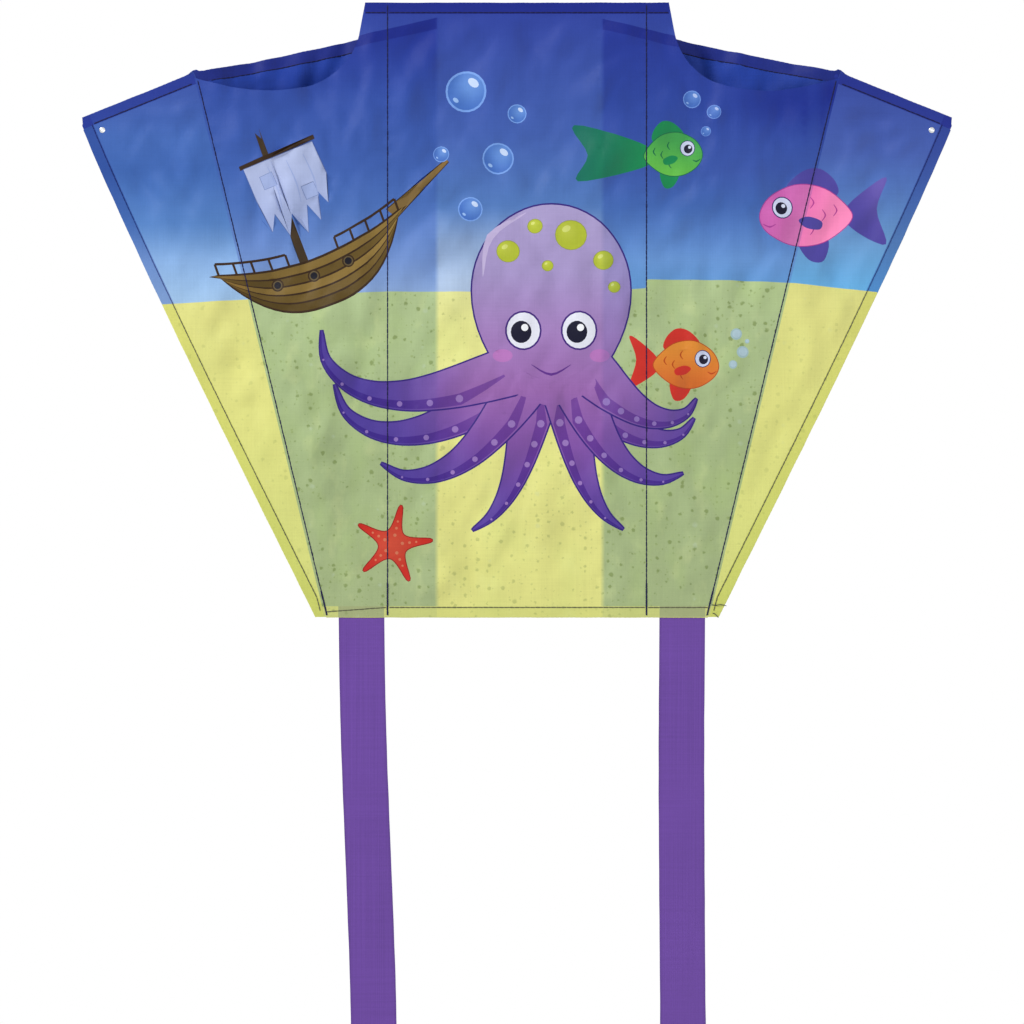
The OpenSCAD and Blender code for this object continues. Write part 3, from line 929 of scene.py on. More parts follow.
def bezier(p, n):
    """A cubic curve with four handles, in n steps."""
    p = np.array(p, float)
    t = np.linspace(0, 1, n + 1)[:, None]
    s = 1 - t
    return s**3 * p[0] + 3 * s * s * t * p[1] + 3 * s * t * t * p[2] + t**3 * p[3]


def polyline(*parts):
    """Joins parts that each end where the next starts; a part is (corners, how far apart) or its points."""
    made = [resample(*part) if isinstance(part, tuple) else part for part in parts]
    return np.concatenate([part[:-1] for part in made[:-1]] + made[-1:])


scoop = bezier(SCOOP, 34)
half = polyline(([(0, 0), (LEAD_X, 0)], GRID), ([(LEAD_X, 0), SHOULDER], GRID), scoop,
                ([scoop[-1], SEAM_FOOT], GRID), ([SEAM_FOOT, (0, HEIGHT)], GRID))
sail_outline = np.concatenate([half, mirrored(half)[::-1][1:-1]])
TINT_LEFT, TINT_RIGHT = -44.6, 47.6          # inner limits of the second layer behind the face, and of its painted shade
SOFT_EDGE = 1.3


def layer_shade_share(corners, mid, zone):
    """How much of the second layer's painted shade each corner takes: all in a tunnel, and less across its
    soft edge.
    """
    inner = np.where(mid[:, 0] < 0, -TINT_LEFT, TINT_RIGHT)
    near = (np.abs(np.abs(mid[:, 0]) - inner) < SOFT_EDGE) & (mid[:, 1] > mouth_drop(inner))
    near &= mid[:, 1] < HEM_TOP
    share = np.repeat((zone == "tunnel").astype(float)[:, None], 3, 1)
    past = np.abs(corners[near][..., 0]) - inner[near][:, None]
    share[near] = np.clip(past / (2 * SOFT_EDGE) + 0.5, 0, 1)
    return share[..., None]


def sail_zone(p):
    """Which zone of the print each point is in, and what the painted shade of hems and of the ribbons' sewn
    ends leaves of its colours.
    """
    x, d = p[:, 0], p[:, 1]
    ax = np.abs(x)
    # the "tunnel" zone carries the second layer's painted shade
    layered = ((x < TINT_LEFT) | (x > TINT_RIGHT)) & (d > mouth_drop(ax))
    zone = np.where(layered, "tunnel", "centre")
    # painted shade where folded cloth lies behind the face: the mouths' hems, the leading and trailing hems
    # and the ribbons' sewn ends
    hem = np.ones((len(p), 3))
    hem[layered & (d < mouth_drop(ax) + HEM) & (ax < 92)] = (0.86, 0.82, 0.91)
    hem[(d < HEM) & (ax < LEAD_X)] = (0.74, 0.72, 0.88)
    foot = d > HEM_TOP
    zone[foot] = "centre"
    hem[foot] = (0.955, 0.965, 0.93)
    hem[foot & layered] = (0.90, 0.925, 0.93)
    for side, s in SIDES.items():
        hem[foot & (np.abs(x - s * TAIL_X - TAIL_SHIFT[side]) < TAIL_WIDTH / 2)] = (0.74, 0.78, 0.92)
    return zone, hem


sail_guides = [
    [(-LEAD_X, HEM), (LEAD_X, HEM)],
    [(-seam_x(HEM_TOP), HEM_TOP), (seam_x(HEM_TOP), HEM_TOP)],
    *[[(edge + off, mouth_drop(abs(edge))), (edge + off, HEIGHT)] for edge in (TINT_LEFT, TINT_RIGHT)
      for off in (-SOFT_EDGE, 0, SOFT_EDGE)],
]
for side, s in SIDES.items():
    inner = -TINT_LEFT if s < 0 else TINT_RIGHT
    sail_guides += [[(s * inner, mouth_drop(inner) + k), (s * 92, mouth_drop(92) + k)] for k in (0, HEM)]
    middle = s * TAIL_X + TAIL_SHIFT[side]
    sail_guides += [[(middle + k * TAIL_WIDTH / 2, d) for d in (HEM_TOP, HEIGHT)] for k in (-1, 1)]
FINE = 1.6
for s in (-1, 1):
    for off in (-2.0, 0.0, 2.0):
        line = [(s * (INNER_X + off), d) for d in (2, HEIGHT - 1)]
        sail_guides.append(resample(line, FINE))
    for inset in (1.7, 4.5):
        line = [(s * (seam_x(d) - inset * STRETCH), d) for d in (SEAM_TOP[1] + 6, HEIGHT - 1)]
        sail_guides.append(resample(line, FINE))
sail, sail_area = print_sheet("sail_print", sail_outline, sail_guides, False, "sail", "face_sail", sail_zone)


TIP_TOP, TIP_OUTER = toward(TIP, SEAM_TOP, 1.5), toward(TIP, CORNER, 4.0)
keel_half = polyline(([SEAM_TOP, TIP_TOP], GRID), ([TIP_TOP, TIP_OUTER], 1.0),
                     bowed(resample([TIP_OUTER, CORNER], GRID)), ([CORNER, SEAM_FOOT], GRID),
                     ([SEAM_FOOT, SCOOP_FOOT], GRID), ([SCOOP_FOOT, SEAM_TOP], GRID))[:-1]


def keel_zone(p):
    """The same for a keel, which is all one zone."""
    q = np.stack([np.abs(p[:, 0]), p[:, 1]], -1)
    top, outer = to_top(q) < HEM, to_outer(q) < HEM
    zone = np.full(len(p), "keel")
    # painted shade of the folded hems along the keel's outer and top edges
    hem = np.ones((len(p), 3))
    hem[outer] = (0.78, 0.80, 0.89)
    hem[outer & on_sand(p)] = (0.955, 0.965, 0.86)
    hem[top] = (0.72, 0.70, 0.88)
    hem[top & outer] = (0.64, 0.60, 0.84)
    return zone, hem


for side, s in SIDES.items():
    flip = np.array((s, 1.0))
    outline = keel_half * flip
    if s < 0:
        outline = outline[::-1]
    outer_guide = bowed(resample(strip_line(TIP, CORNER, HEM), GRID)) * flip
    guides = [strip_line(SEAM_TOP, TIP, HEM) * flip, outer_guide]
    hole = ring(*EYELET, 1.1, n=20) * flip
    print_sheet(f"keel_print_{side}", outline, guides, True, f"keel_{side}", f"keel_{side}",
                              keel_zone, [hole])

# ---- cloth strips and shells -----------------------------------------------------------------
def grid_shell(points, thickness, flip):
    """A sheet through a grid of points, given its thickness: points, its two lists of faces and its rim."""
    rows, cols = points.shape[:2]
    du, dv = np.gradient(points, axis=1), np.gradient(points, axis=0)
    n = np.cross(du, dv)
    n /= np.maximum(np.linalg.norm(n, axis=-1, keepdims=True), 1e-9)
    front, back = (points - n * thickness / 2).reshape(-1, 3), (points + n * thickness / 2).reshape(-1, 3)
    a = (np.arange(rows - 1)[:, None] * cols + np.arange(cols - 1)[None, :]).ravel()
    faces = np.stack([a, a + cols, a + cols + 1, a + 1], -1)
    if flip:
        front, back = back, front
        faces = faces[:, ::-1]
    return shell(front, back, faces)


def corner_colours(at, *face_lists):
    """Looks up one colour for each corner; at has a colour for each point."""
    return np.concatenate([at[[int(i) for f in faces for i in f]] for faces in face_lists])


def outward(verts, faces):
    """Faces all turned the other way if they enclose a negative volume."""
    v = np.asarray(verts, float)
    volume = sum(np.dot(v[f[0]], np.cross(v[f[i]], v[f[i + 1]])) for f in faces for i in range(1, len(f) - 1))
    return faces if volume > 0 else [list(f)[::-1] for f in faces]


# A hem's section: how far in from the folded edge, and how far behind the cloth's middle.
HEM_PROFILE = [(0.0, -0.1), (-0.2, -0.07), (-0.34, 0.06), (-0.36, 0.22), (-0.24, 0.38), (0.1, 0.5),
               (0.9, 0.55), (2.4, 0.53), (4.2, 0.47), (5.0, 0.36), (5.3, 0.33), (5.6, 0.37), (5.95, 0.39),
               (6.1, 0.3), (6.0, 0.17), (4.0, 0.13), (1.5, 0.13), (0.3, 0.12)]
HEM_THICK, HEM_BASE = 0.55, 0.12             # the profile's greatest height, and where folded cloth starts


def run_length(path):
    """The distance along a path at each of its points."""
    return np.concatenate([[0], np.cumsum(np.linalg.norm(np.diff(path, axis=0), axis=1))])


def hem(name, path, inward, normal, body, slot, material, stands_for, at_front, at_back, thick=HEM_THICK,
        seed=0.0):
    """An edge turned over twice and sewn down: its section runs round the folded edge and back in."""
    path = np.asarray(path, float)
    inward, normal = np.broadcast_to(inward, path.shape), np.broadcast_to(normal, path.shape)
    s = run_length(path)
    puff = 1 + 0.30 * perlin(s / 7.0, seed) + 0.12 * perlin(s / 2.3, seed + 3)
    edge = 0.16 * perlin(s / 11.0, seed + 7) + 0.05 * np.sin(s * 2.33)
    rows = []
    for d, n in HEM_PROFILE:
        high = np.full(len(s), n)
        if n > HEM_BASE:
            full = puff if 0.3 < d < 4.9 else np.ones(len(s))
            high = HEM_BASE + (n - HEM_BASE) * thick / HEM_THICK * full
        if 4.9 < d < 5.7:                    # the stitches draw it in
            high = high + 0.035 * np.sin(s * 2 * math.pi / 2.7)
        out = d + edge * (1 if d < 0.5 else 0.4 if d > 5.5 else 0)
        rows.append(path + inward * out[:, None] + normal * high[:, None])
    verts = np.stack(rows, 1).reshape(-1, 3)
    faces = outward(verts, tube_faces(len(s), len(rows)))
    at = [at_front if n < 0.1 and d < 0.2 else at_back for d, n in HEM_PROFILE]
    colours = corner_colours(np.stack(at, 1).reshape(-1, 3), faces)
    return piece(name, verts, faces, body, slot, material, stands_for, colours)


def edge_colours(p, zone, front, back, front_on_sand=None):
    """Print colours along an edge: what shows in front under the hem's painted shade, and what the turned
    cloth shows behind.
    """
    sea, sand = base_paint(p, zone)
    under = on_sand(p)[:, None]
    c = np.where(under, sand, sea)
    return c * np.where(under, front_on_sand or front, front), c * np.array(back)


def standing(p, keel=False):
    """Points of the picture's plane as points of the cloth's middle surface."""
    return np.stack([p[:, 0], wave(p, keel), -p[:, 1]], -1)


HEM_STEP = 1.35
# TOP_SHADE, FOOT_SHADE and the SIDE factors are painted shade of the folded hems on the print.
TOP_SHADE, FOOT_SHADE, BEHIND = (0.74, 0.72, 0.88), (0.95, 0.96, 0.93), (0.90, 0.90, 0.95)
SIDE_SHADE, SIDE_SHADE_ON_SAND = (0.81, 0.83, 0.90), (0.985, 1.0, 0.87)
TIP_BLUE = (52.0, 60, 138)


def straight_hem(name, half, drop, shade, inward, node_name, **look):
    """The hem along the sail's top or foot, from -half to half."""
    line = resample([(-half, drop), (half, drop)], HEM_STEP)
    front, back = edge_colours(line, "centre", shade, BEHIND)
    return hem(name, standing(line), inward, (0, 1, 0), "sail", "printed_sail", PRINTED, [node_name],
               front, back, **look)


leading_hem = straight_hem("leading_hem", LEAD_X, 0, TOP_SHADE, (0, 0, -1), "leading_edge_hem", seed=1.5)
trailing_hem = straight_hem("trailing_hem", seam_x(HEIGHT) - 0.9, HEIGHT, FOOT_SHADE, (0, 0, 1),
                            "trailing_edge_hem", thick=1.05, seed=4.5)

for side, s in SIDES.items():
    flip = np.array((s, 1.0))
    body = f"keel_{side}"
    ends = {"top": (toward(SEAM_TOP, TIP, 0.1), TIP_TOP), "outer": (toward(TIP, CORNER, 6.4), CORNER)}
    for part, shade_of, seed in (("top", TOP_SHADE, 2.5), ("outer", SIDE_SHADE, 6.5)):
        line = resample(ends[part], HEM_STEP)
        u = unit(line[-1] - line[0])
        if part == "top":
            line[:, 1] -= 1.3 * np.exp(-((line[:, 0] - SEAM_TOP[0]) / 2.2) ** 2)
        else:
            line = bowed(line)
        front, back = edge_colours(line * flip, "keel", shade_of, BEHIND, SIDE_SHADE_ON_SAND)
        hem(f"keel_{part}_hem_{side}_turned", standing(line * flip, True), (-u[1] * s, 0, -u[0]),
                        (0, 1, 0), body, "printed_sail", PRINTED, [f"keel_{part}_hem_{side}"], front, back,
                        seed=s + seed)
    # the corner that was folded in at the tip, as rings that narrow towards its middle
    inner_corner = toward(TIP, SEAM_TOP, HEM) + (toward(TIP, CORNER, HEM) - np.array(TIP))
    tip_line = [toward(TIP, SEAM_TOP, HEM), TIP_TOP, TIP_OUTER, toward(TIP, CORNER, 7.5), inner_corner]
    tip_line = resample(tip_line + tip_line[:1], 0.8)[:-1] * flip
    middle = tip_line.mean(0)
    levels = [(0.995, 0.42), (1.0, 0.55), (0.97, 0.66), (0.88, 0.74), (0.5, 0.8)]
    rings = [middle + (tip_line - middle) * k for k, _ in levels]
    verts = np.concatenate([np.insert(q * (1, -1), 1, y, 1) for q, (_, y) in zip(rings, levels)])
    faces = outward(verts, tube_faces(len(levels), len(tip_line)))
    colours = corner_colours(np.tile(TIP_BLUE, (len(verts), 1)), faces)
    piece(f"tip_fold_{side}", verts, faces, body, "printed_sail", PRINTED,
                      [f"keel_tip_fold_{side}"], colours)

# ---- tunnels ---------------------------------------------------------------------------------
MOUTH_DEPTH, FLANGE, LAP = 13.0, 3.0, 2.5      # LAP is how far the panel's foot runs into the trailing hem
HEM_LEVEL = HEM / (HEM_TOP - SEAM_TOP[1])
INNER_RUN, ARC, OUTER_RUN = 13, 9, 51          # points from the seam to the fold, round it, and outwards
OUTER_START = INNER_RUN + ARC - 1              # index where the outer run of the panel starts
# BLUE, the inside seen through the mouths, is painted lighter to lift the shadow there: painted light.
# BLUE_HEM is darker where the hem is folded behind: painted shade.
BLUE, BLUE_HEM, BLUE_BACK = (43.0, 70, 165), (41.0, 53, 136), (44.0, 72, 164)


def back_line(v):
    """The back panel from above at a level v: inner seam, the fold inboard of it, out to the keel seam."""
    r, lift = lerp(2.6, 0.3, v), 0.05 + lerp(0.9, 0.55, v) * smooth((1 - v) * 16)
    y0 = BACK + 0.22
    end = seam_x(lerp(SEAM_TOP[1], HEM_TOP, v)) - lerp(0.05, 0.6, min(v / 0.04, 1)) * STRETCH
    turn = FOLD_X + r
    bulge = (MOUTH_DEPTH - 5.2) * (1 - v) ** 0.8
    pts = [(INNER_X + FLANGE, y0)]
    pts += [(lerp(INNER_X, turn, t), y0 + lift * t) for t in np.linspace(0, 1, INNER_RUN)[:-1]]
    pts += [(turn - r * math.sin(a), y0 + lift + r - r * math.cos(a)) for a in np.linspace(0, math.pi, ARC)]
    pts += [(lerp(turn, end - FLANGE, t), y0 + (lift + 2 * r) * (1 - t**3) + bulge * math.sin(math.pi * t))
            for t in np.linspace(0, 1, OUTER_RUN)[1:]]
    pts += [(end - FLANGE * 0.5, y0), (end, y0)]
    return np.array(pts)


def tunnel_points(s):
    """A back panel as rows of points at levels from its mouth, 0, to the trailing hem, 1."""
    at_hem = [HEM_LEVEL * 0.5, HEM_LEVEL, HEM_LEVEL * 1.01]
    levels = np.unique(np.concatenate([np.linspace(0, 1, 170) ** 1.08, at_hem]))
    rows = []
    for v in levels:
        line = back_line(v)
        x, y = line[:, 0], line[:, 1].copy()
        bump = 1.7 * np.exp(-((x - 179.0) / 1.7) ** 2) * max(0.0, 1 - v / 0.03)
        drop = lerp(mouth_drop(x), HEM_TOP + LAP, v) - bump
        t = np.clip((x - FOLD_X) / (line[-1, 0] - FOLD_X), 0, 1)
        outer = np.arange(len(x)) >= OUTER_START
        free = smooth(np.sin(math.pi * t) * 1.4) * smooth((1 - v) * 4) * smooth(v * 14 + 0.15) * outer
        sag = 1.9 * (0.6 + perlin(x / 26, drop / 58, 12.3 + s))
        sag -= 1.6 * np.abs(perlin((x + drop) / 22, (x - drop) / 70, 5.5 + s))
        sag += 0.8 * perlin(x / 9, drop / 21, s)
        y += wave(np.stack([x * s, drop], -1)) + free * (0.5 + sag * 0.9)
        rows.append(np.stack([x * s, y, -drop], -1))
    return levels, np.array(rows)


MOUTH_POINTS = 100                             # along each mouth's hem
tunnels, mouth_hems = {}, {}
for side, s in SIDES.items():
    tunnel_levels, points = tunnel_points(s)
    cols = points.shape[1]
    verts, inner, outer, rim = grid_shell(points, CLOTH, s < 0)
    v_at = np.repeat(tunnel_levels, cols)
    x_at = np.abs(points[..., 0]).ravel()
    # painted light: the inside is kept lighter near the fold and darker further out
    fade = lerp(1.0, 0.93, smooth((x_at - 110) / 70))[:, None]
    inner_tone = np.where((v_at < HEM_LEVEL * 1.002)[:, None], BLUE_HEM, BLUE) * fade
    at = np.concatenate([inner_tone, np.tile(BLUE_BACK, (len(v_at), 1))])
    cloth = piece(f"tunnel_cloth_{side}", verts, inner + outer + rim, "sail", "tunnel_cloth", PLAIN,
                  [f"tunnel_back_{side}"], corner_colours(at, inner, outer, rim), sharp=50)
    tunnels[side] = (cloth, points)
    top = points[0, OUTER_START:].copy()
    top[-1, 0] += 0.4 * s                      # closes the notch beside the keel's top hem
    down = unit(points[6, OUTER_START:] - top)
    n = unit(np.cross(np.gradient(top, axis=0), down) * s)
    fine = np.linspace(0, len(top) - 1, MOUTH_POINTS)
    dense = [np.stack([np.interp(fine, range(len(top)), a[:, k]) for k in range(3)], -1)
             for a in (top, down, n)]
    tone = np.tile(BLUE_HEM, (MOUTH_POINTS, 1))
    mouth_hems[side] = hem(f"mouth_hem_{side}_turned", *dense, "sail", "tunnel_cloth", PLAIN,
                           [f"mouth_hem_{side}"], tone, tone * 1.04, thick=0.4, seed=s + 9.5)

# ---- stitching -------------------------------------------------------------------------------
# A stitch's rings: how far along it, how wide, and how far they dip into the cloth, as shares of half of it.
RINGS = [(-1.0, 0.55, -0.5), (-0.9, 0.85, -0.14), (-0.4, 1.0, 0.0), (0.4, 1.0, 0.0), (0.9, 0.85, -0.14),
         (1.0, 0.55, -0.5)]
AROUND = [(math.cos(a), math.sin(a)) for a in np.arange(6) * math.pi / 3]
jitter = np.random.default_rng(7)


class Sewing:
    """Collects single stitches into one mesh."""

    def __init__(self):
        self.verts, self.faces = [], []

    def stitch(self, a, b, up, width, height):
        a, b, up = (np.asarray(q, float) for q in (a, b, up))
        mid, along = (a + b) / 2, (b - a) / 2
        side = np.cross(unit(along), up)
        self.faces += tube_faces(len(RINGS), len(AROUND), len(self.verts))
        for u, r, dip in RINGS:
            for c, h in AROUND:
                lift = height * (0.18 + 0.5 * h * r + 0.5 * dip)
                self.verts.append(mid + along * u + side * (c * r * width / 2) + up * lift)

    def run(self, path, up, lift, pitch=2.9, gap=0.02, width=0.66, height=0.34):
        """Stitches end to end along a path, each a little crooked."""
        up = np.broadcast_to(np.asarray(up, float), path.shape)
        s = run_length(path)
        count = max(1, round(s[-1] / pitch))
        pitch = s[-1] / count
        for k in range(count):
            at = np.array([k * pitch + gap / 2, (k + 1) * pitch - gap / 2])
            p = np.stack([np.interp(at, s, path[:, i]) for i in range(3)], -1)
            n = unit(np.array([np.interp(at.mean(), s, up[:, i]) for i in range(3)]))
            side = unit(np.cross(p[1] - p[0], n))
            p = p + n * lift + side * jitter.normal(0, 0.035, 2)[:, None]
            self.stitch(p[0], p[1], n, width * (1 + jitter.normal(0, 0.06)), height)

    def tube(self, path, radius):
        """A free end of thread."""
        t = unit(np.gradient(path, axis=0))
        side = unit(np.cross(t, (0.12, 1.0, 0.2)))
        other = np.cross(t, side)
        self.faces += [f[::-1] for f in tube_faces(len(path), len(AROUND), len(self.verts))]
        for p, a, b in zip(path, side, other):
            self.verts += [p + radius * (c * a + h * b) for c, h in AROUND]

    def done(self, name, body, material, nodes):
        """Makes the piece. Smoke thread is see-through, so it takes the print's colour, darkened."""
        colours = None
        if material is SMOKE:
            v = np.array(self.verts)[[i for f in self.faces for i in f]]
            colours, _ = edge_colours(np.stack([v[:, 0], -v[:, 2]], -1), "keel", SMOKE_TONE, SMOKE_TONE)
        return piece(name, self.verts, self.faces, body, "thread", material, nodes, colours, sharp=80)


AHEAD, BEHIND_UP = (0, -1, 0), (0, 1, 0)
HEM_BEHIND, FOOT_BEHIND, SEAM_BEHIND = 0.33, 0.6, 0.36     # how far behind the middle the back stitches lie
KEEL_BEHIND = 0.34
THIN = 0.6                                                 # width of the smoke thread's stitches


def sew(name, body, material, node_name, lines, keel=False, behind=None, **finish):
    """Stitches along lines of the picture's plane, in front and, where behind is given, that far behind."""
    made = Sewing()
    for path in lines:
        p = standing(resample(path, 2.0), keel)
        made.run(p, AHEAD, -FRONT, **finish)
        if behind is not None:
            made.run(p[::-1], BEHIND_UP, behind, **finish)
    made.done(name, body, material, [node_name])


def seam_pair(drop0, drop1, inboard):
    """A line beside the slanted seam."""
    return [(seam_x(d) - inboard * STRETCH, d) for d in (drop0, drop1)]


def cut_at_seams(drop, half, gap=0.9):
    """A hem's thread in three lengths, which leave room for the inner seams' threads."""
    stops = (-half, -INNER_X - gap, -INNER_X + gap, INNER_X - gap, INNER_X + gap, half)
    return [[(a, drop), (b, drop)] for a, b in zip(stops[::2], stops[1::2])]


def meet(l, m):
    """The point where two lines meet."""
    u, w, k = l[1] - l[0], m[1] - m[0], m[0] - l[0]
    return l[0] + u * (k[0] * w[1] - k[1] * w[0]) / (u[0] * w[1] - u[1] * w[0])


leading_lines = cut_at_seams(STITCH_IN, LEAD_X - 0.3)
sew("stitches_leading_hem", "sail", NAVY, "leading_hem_thread", leading_lines, behind=HEM_BEHIND)
foot_drop = HEIGHT - STITCH_IN
foot_lines = cut_at_seams(foot_drop, seam_x(foot_drop) - 2.2)
foot_lines[0][0] = (foot_lines[0][0][0], foot_drop + 2.4)  # the left end runs off towards the corner
sew("stitches_trailing_hem", "sail", SMOKE, "trailing_hem_thread", foot_lines, behind=FOOT_BEHIND, width=THIN)
TACK_INNER, TACK_OUTER = 19.0, 14.5                        # the tacks' lengths
INTO_TACK = 0.3                                            # how far a seam's thread runs into its tack
top_line, outer_line = strip_line(SEAM_TOP, TIP, STITCH_IN), strip_line(TIP, CORNER, STITCH_IN)
stitch_corner = meet(top_line, outer_line)
top_start = toward(top_line[0], top_line[1], 3.0)
beside_seam = np.array(seam_pair(150, HEIGHT - 3.5, -1.5))
outer_run = bowed(resample([stitch_corner, meet(outer_line, beside_seam)], 2.0))
for side, s in SIDES.items():
    flip = np.array((s, 1.0))
    keel_body = f"keel_{side}"
    inner_run = [(s * INNER_X, 1.2), (s * INNER_X, HEIGHT - TACK_INNER + INTO_TACK)]
    seam_run = seam_pair(SEAM_TOP[1] + 4, HEIGHT - TACK_OUTER + INTO_TACK, THREAD_IN) * flip
    top_run = np.array([top_start, toward(stitch_corner, top_start, 0.8)]) * flip
    outer_runs = [outer_run * flip, np.array([outer_run[-1], beside_seam[1]]) * flip]
    sew(f"stitches_inner_seam_{side}", "sail", NAVY, f"inner_seam_thread_{side}", [inner_run])
    sew(f"stitches_keel_seam_{side}", "sail", NAVY, f"keel_seam_thread_{side}", [seam_run],
        behind=SEAM_BEHIND)
    sew(f"stitches_keel_top_{side}", keel_body, NAVY, f"keel_top_thread_{side}", [top_run], True, KEEL_BEHIND)
    sew(f"stitches_keel_outer_{side}", keel_body, SMOKE, f"keel_outer_thread_{side}", outer_runs, True,
        KEEL_BEHIND, width=THIN)
    at = np.searchsorted(tunnel_levels, HEM_LEVEL * 0.9)
    above, row, below = tunnels[side][1][at - 1:at + 2, OUTER_START + 1:-4]
    n = unit(np.cross(np.gradient(row, axis=0), below - above) * s)
    mouth = Sewing()
    mouth.run(row, -n, 0.1)
    mouth.run(row[::-1], n[::-1], SEAM_BEHIND)
    mouth.done(f"stitches_mouth_{side}", "sail", NAVY, [f"mouth_thread_{side}"])

tacks = Sewing()
ZIGZAG = 0.42                                              # how far a tack's stitches reach to each side
for s in (-1, 1):
    for line in ([(INNER_X, HEIGHT - TACK_INNER), (INNER_X, HEIGHT - 1.0)],
                 seam_pair(HEIGHT - TACK_OUTER, HEIGHT - 1.0, THREAD_IN)):
        p = standing(resample(line, 0.62) * (s, 1))
        for k in range(len(p) - 1):
            w = np.array((ZIGZAG * (-1) ** k, 0, 0))
            tacks.stitch(p[k] - w + (0, FRONT, 0), p[k + 1] + w + (0, FRONT, 0), AHEAD, 0.62, 0.42)
        tacks.run(p, AHEAD, -FRONT + 0.16, gap=0.0, width=0.85)
        tacks.run(p[::-1], BEHIND_UP, 0.62, gap=0.2, width=0.8)
tacks.done("tacks", "sail", NAVY, ["bartacks"])

# loose thread ends at the right-hand foot of the kite
loose = Sewing()
long_end = [(108.4, -0.3, -334.6), (110.6, -0.55, -334.9), (113.4, -0.6, -334.5), (116.4, -0.4, -335.2)]
short_end = [(108.8, -0.3, -339.2), (110.4, -0.5, -339.9), (111.9, -0.45, -341.8)]
for points, radius in ((long_end, 0.2), (short_end, 0.18)):
    loose.tube(spline(points, 6, False), radius)
loose.done("loose_ends_right", "sail", NAVY, [])

# ---- eyelets ---------------------------------------------------------------------------------
# The section of one rolled rim: radius, and distance from the middle.
EYELET_FRONT = [(0.8, 0.36), (0.88, 0.46), (1.06, 0.51), (1.3, 0.48), (1.52, 0.38), (1.6, 0.26), (1.54, 0.15),
                (1.35, 0.11), (1.1, 0.1)]
EYELET_PROFILE = EYELET_FRONT + [(r, -y) for r, y in EYELET_FRONT[::-1]]
EYELET_TURNS = np.arange(36) * 2 * math.pi / 36
for side, s in SIDES.items():
    verts = [(s * EYELET[0] + r * math.cos(a), y, -EYELET[1] + r * math.sin(a))
             for a in EYELET_TURNS for r, y in EYELET_PROFILE]
    faces = outward(verts, tube_faces(len(EYELET_TURNS), len(EYELET_PROFILE), closed=True))
    piece(f"rolled_eyelet_{side}", verts, faces, f"keel_{side}", "eyelet_metal", METAL,
                          [f"eyelet_{side}"], sharp=60)

# ---- tails -----------------------------------------------------------------------------------
TAIL_DROP, TAIL_END = HEIGHT + 0.6, -box_mm("tail_left_4")[0][2]
PITCH = (TAIL_END - TAIL_DROP) / 4
TAIL_SWAY = {"left": [(330, 3.3), (400, 4.2), (480, 7.4), (560, 10.4), (640, 10.8), (760, 7.0), (860, 4.5),
                      (940, 4.0)],
             "right": [(330, 2.0), (420, 1.4), (520, 1.8), (600, 2.6), (720, 1.0), (830, -1.5), (940, -2.0)]}
SWAY_DROPS, SWAY_SOFTENED = np.arange(300, 980, 4.0), 17   # the sway is averaged over so many of these drops
ACROSS = np.array([-1, -0.985, -0.95, -0.85, -0.65, -0.4, -0.2, 0, 0.2, 0.4, 0.65, 0.85, 0.95, 0.985, 1])
SELVEDGE = np.array([0.90, 0.91, 0.95] + [1.0] * (len(ACROSS) - 6) + [0.95, 0.91, 0.90])
VIOLET = np.array((109.0, 75, 159))


def ribbon_points(side, d0, d1):
    """A grid of points on a tail's middle surface between two drops: it sways, twists and curls a little."""
    s = SIDES[side]
    d = np.linspace(d0, d1, max(3, round((d1 - d0) / 3.0)) + 1)
    sway = np.interp(SWAY_DROPS, *zip(*TAIL_SWAY[side]))
    sway = np.pad(sway, SWAY_SOFTENED // 2, mode="edge")
    sway = np.convolve(sway, np.ones(SWAY_SOFTENED) / SWAY_SOFTENED, "valid")
    off = np.interp(d, SWAY_DROPS, sway)
    free = smooth((d - TAIL_DROP) / 70)
    y = 0.4 + free * (2.6 * perlin(d / 95, s * 1.7) + 1.0 * perlin(d / 31, s * 4.1 + 2))
    turn = free * 0.10 * perlin(d / 120, s * 2.9 + 5)
    curl = free * (0.5 * perlin(d / 60, s + 8) + 0.3)
    edge = 0.12 * perlin(d / 14, s + 20) * free
    across = ACROSS[None, :] * (TAIL_WIDTH / 2 + edge[:, None])
    x = s * TAIL_X + off[:, None] + across * np.cos(turn)[:, None]
    yy = y[:, None] + across * np.sin(turn)[:, None] + curl[:, None] * (ACROSS[None, :] ** 2)
    return np.stack([x, yy, np.broadcast_to(-d[:, None], x.shape)], -1)


RIBBON_THICK = 0.22
for side, s in SIDES.items():
    bodies = ["sail"] + [f"tail_{side}_{i}" for i in range(1, 5)]
    stops = [HEM_TOP + 1.2] + [TAIL_DROP + (i + 0.5) * PITCH for i in range(3)] + [TAIL_END]
    for i in range(4):
        points = ribbon_points(side, stops[i], stops[i + 1])
        verts, f, b, rim = grid_shell(points, RIBBON_THICK, False)
        at = np.tile(SELVEDGE, 2 * len(points))[:, None] * VIOLET
        stands_for = [bodies[i + 1]] + ([f"tail_tab_{side}"] if i == 0 else [])
        ribbon = piece(f"ribbon_{side}_{i + 1}", verts, f + b + rim, None, "ribbon", RIBBON, stands_for,
                       corner_colours(at, f, b, rim), sharp=60)
        hinge = TAIL_DROP + i * PITCH
        # two points at these distances from the hinge, only below it at the sail's stiff hem for the first
        # piece; nothing here uses them
        reach = (0.2, 18) if i == 0 else (-22, 22)
        start, end = ((s * TAIL_X * MM, 0.0004, -(hinge + off) * MM) for off in reach)
        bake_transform(ribbon)
        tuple(start)
        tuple(end)


for side in SIDES:
    cloth, points = tunnels[side]

# ---- stage, camera and light -----------------------------------------------------------------
scene = bpy.context.scene
scene.view_settings.view_transform = "Standard"
scene.view_settings.look = "None"


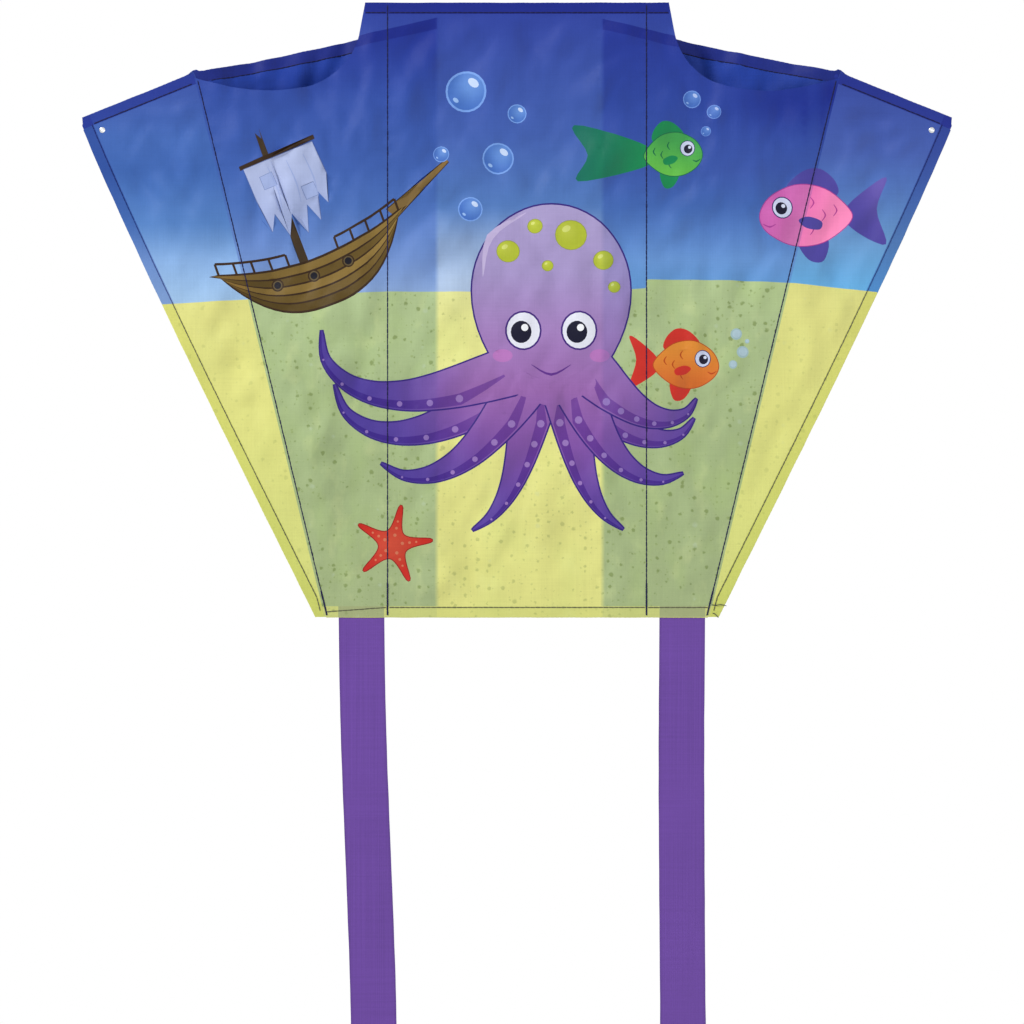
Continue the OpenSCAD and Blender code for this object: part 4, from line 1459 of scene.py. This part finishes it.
def pale_material():
    mat, tree, shader = new_material("pale_floor")
    grain = node(tree, "TexNoise", {"Scale": 6.0, "Detail": 3.0})
    tone = node(tree, "MapRange", {"Value": grain, "To Min": 0.80, "To Max": 0.84})
    tree.links.new(tone, shader.inputs["Base Color"])
    shader.inputs["Roughness"].default_value = 0.8
    return mat


def make_floor():
    mesh = bpy.data.meshes.new("floor")
    rim = [(1.9 * math.cos(a), 1.9 * math.sin(a), 0) for a in np.linspace(0, 2 * math.pi, 96, endpoint=False)]
    mesh.from_pydata(rim, [], [list(range(96))])
    floor = bpy.data.objects.new("floor", mesh)
    floor.location.z = cad_box[0].z - 0.03
    mesh.materials.append(pale_material())
    scene.collection.objects.link(floor)


WORLD_LIGHT = 0.625          # the white world's strength as a light
LIGHTS = [("key", (-1.5, -1.1, 1.1), 0.7, 38.0), ("fill", (1.6, -1.2, -0.3), 1.2, 8.0),
          ("rear", (0.9, 1.7, 0.9), 0.8, 22.0)]        # where, how wide, how many watts


def make_lights():
    world = bpy.data.worlds.new("studio")
    world.use_nodes = True
    tree = world.node_tree
    back = tree.nodes["Background"]
    back.inputs["Color"].default_value = (1, 1, 1, 1)
    seen = node(tree, "LightPath")           # its first output says whether the camera looks straight at it
    strength = node(tree, "MapRange", {"Value": seen, "To Min": WORLD_LIGHT, "To Max": 1.0})
    tree.links.new(strength, back.inputs["Strength"])
    scene.world = world
    for name, at, size, power in LIGHTS:
        light = bpy.data.lights.new(name, "AREA")
        light.size, light.energy = size, power
        obj = bpy.data.objects.new(name, light)
        obj.location = at
        obj.rotation_euler = (Vector((0, 0, -0.25)) - obj.location).to_track_quat("-Z", "Y").to_euler()
        scene.collection.objects.link(obj)


VIEW_WIDTH = 0.5695          # what the square picture takes in at the kite
CAMERA_X, CAMERA_Z = -0.0028, -0.283


def make_camera():
    data = bpy.data.cameras.new("camera")
    data.lens, data.sensor_width = 100, 36
    camera = bpy.data.objects.new("camera", data)
    camera.location = (CAMERA_X, -VIEW_WIDTH * data.lens / data.sensor_width, CAMERA_Z)
    camera.rotation_euler = (math.pi / 2, 0, 0)
    scene.collection.objects.link(camera)
    scene.camera = camera


make_floor()
make_lights()
make_camera()
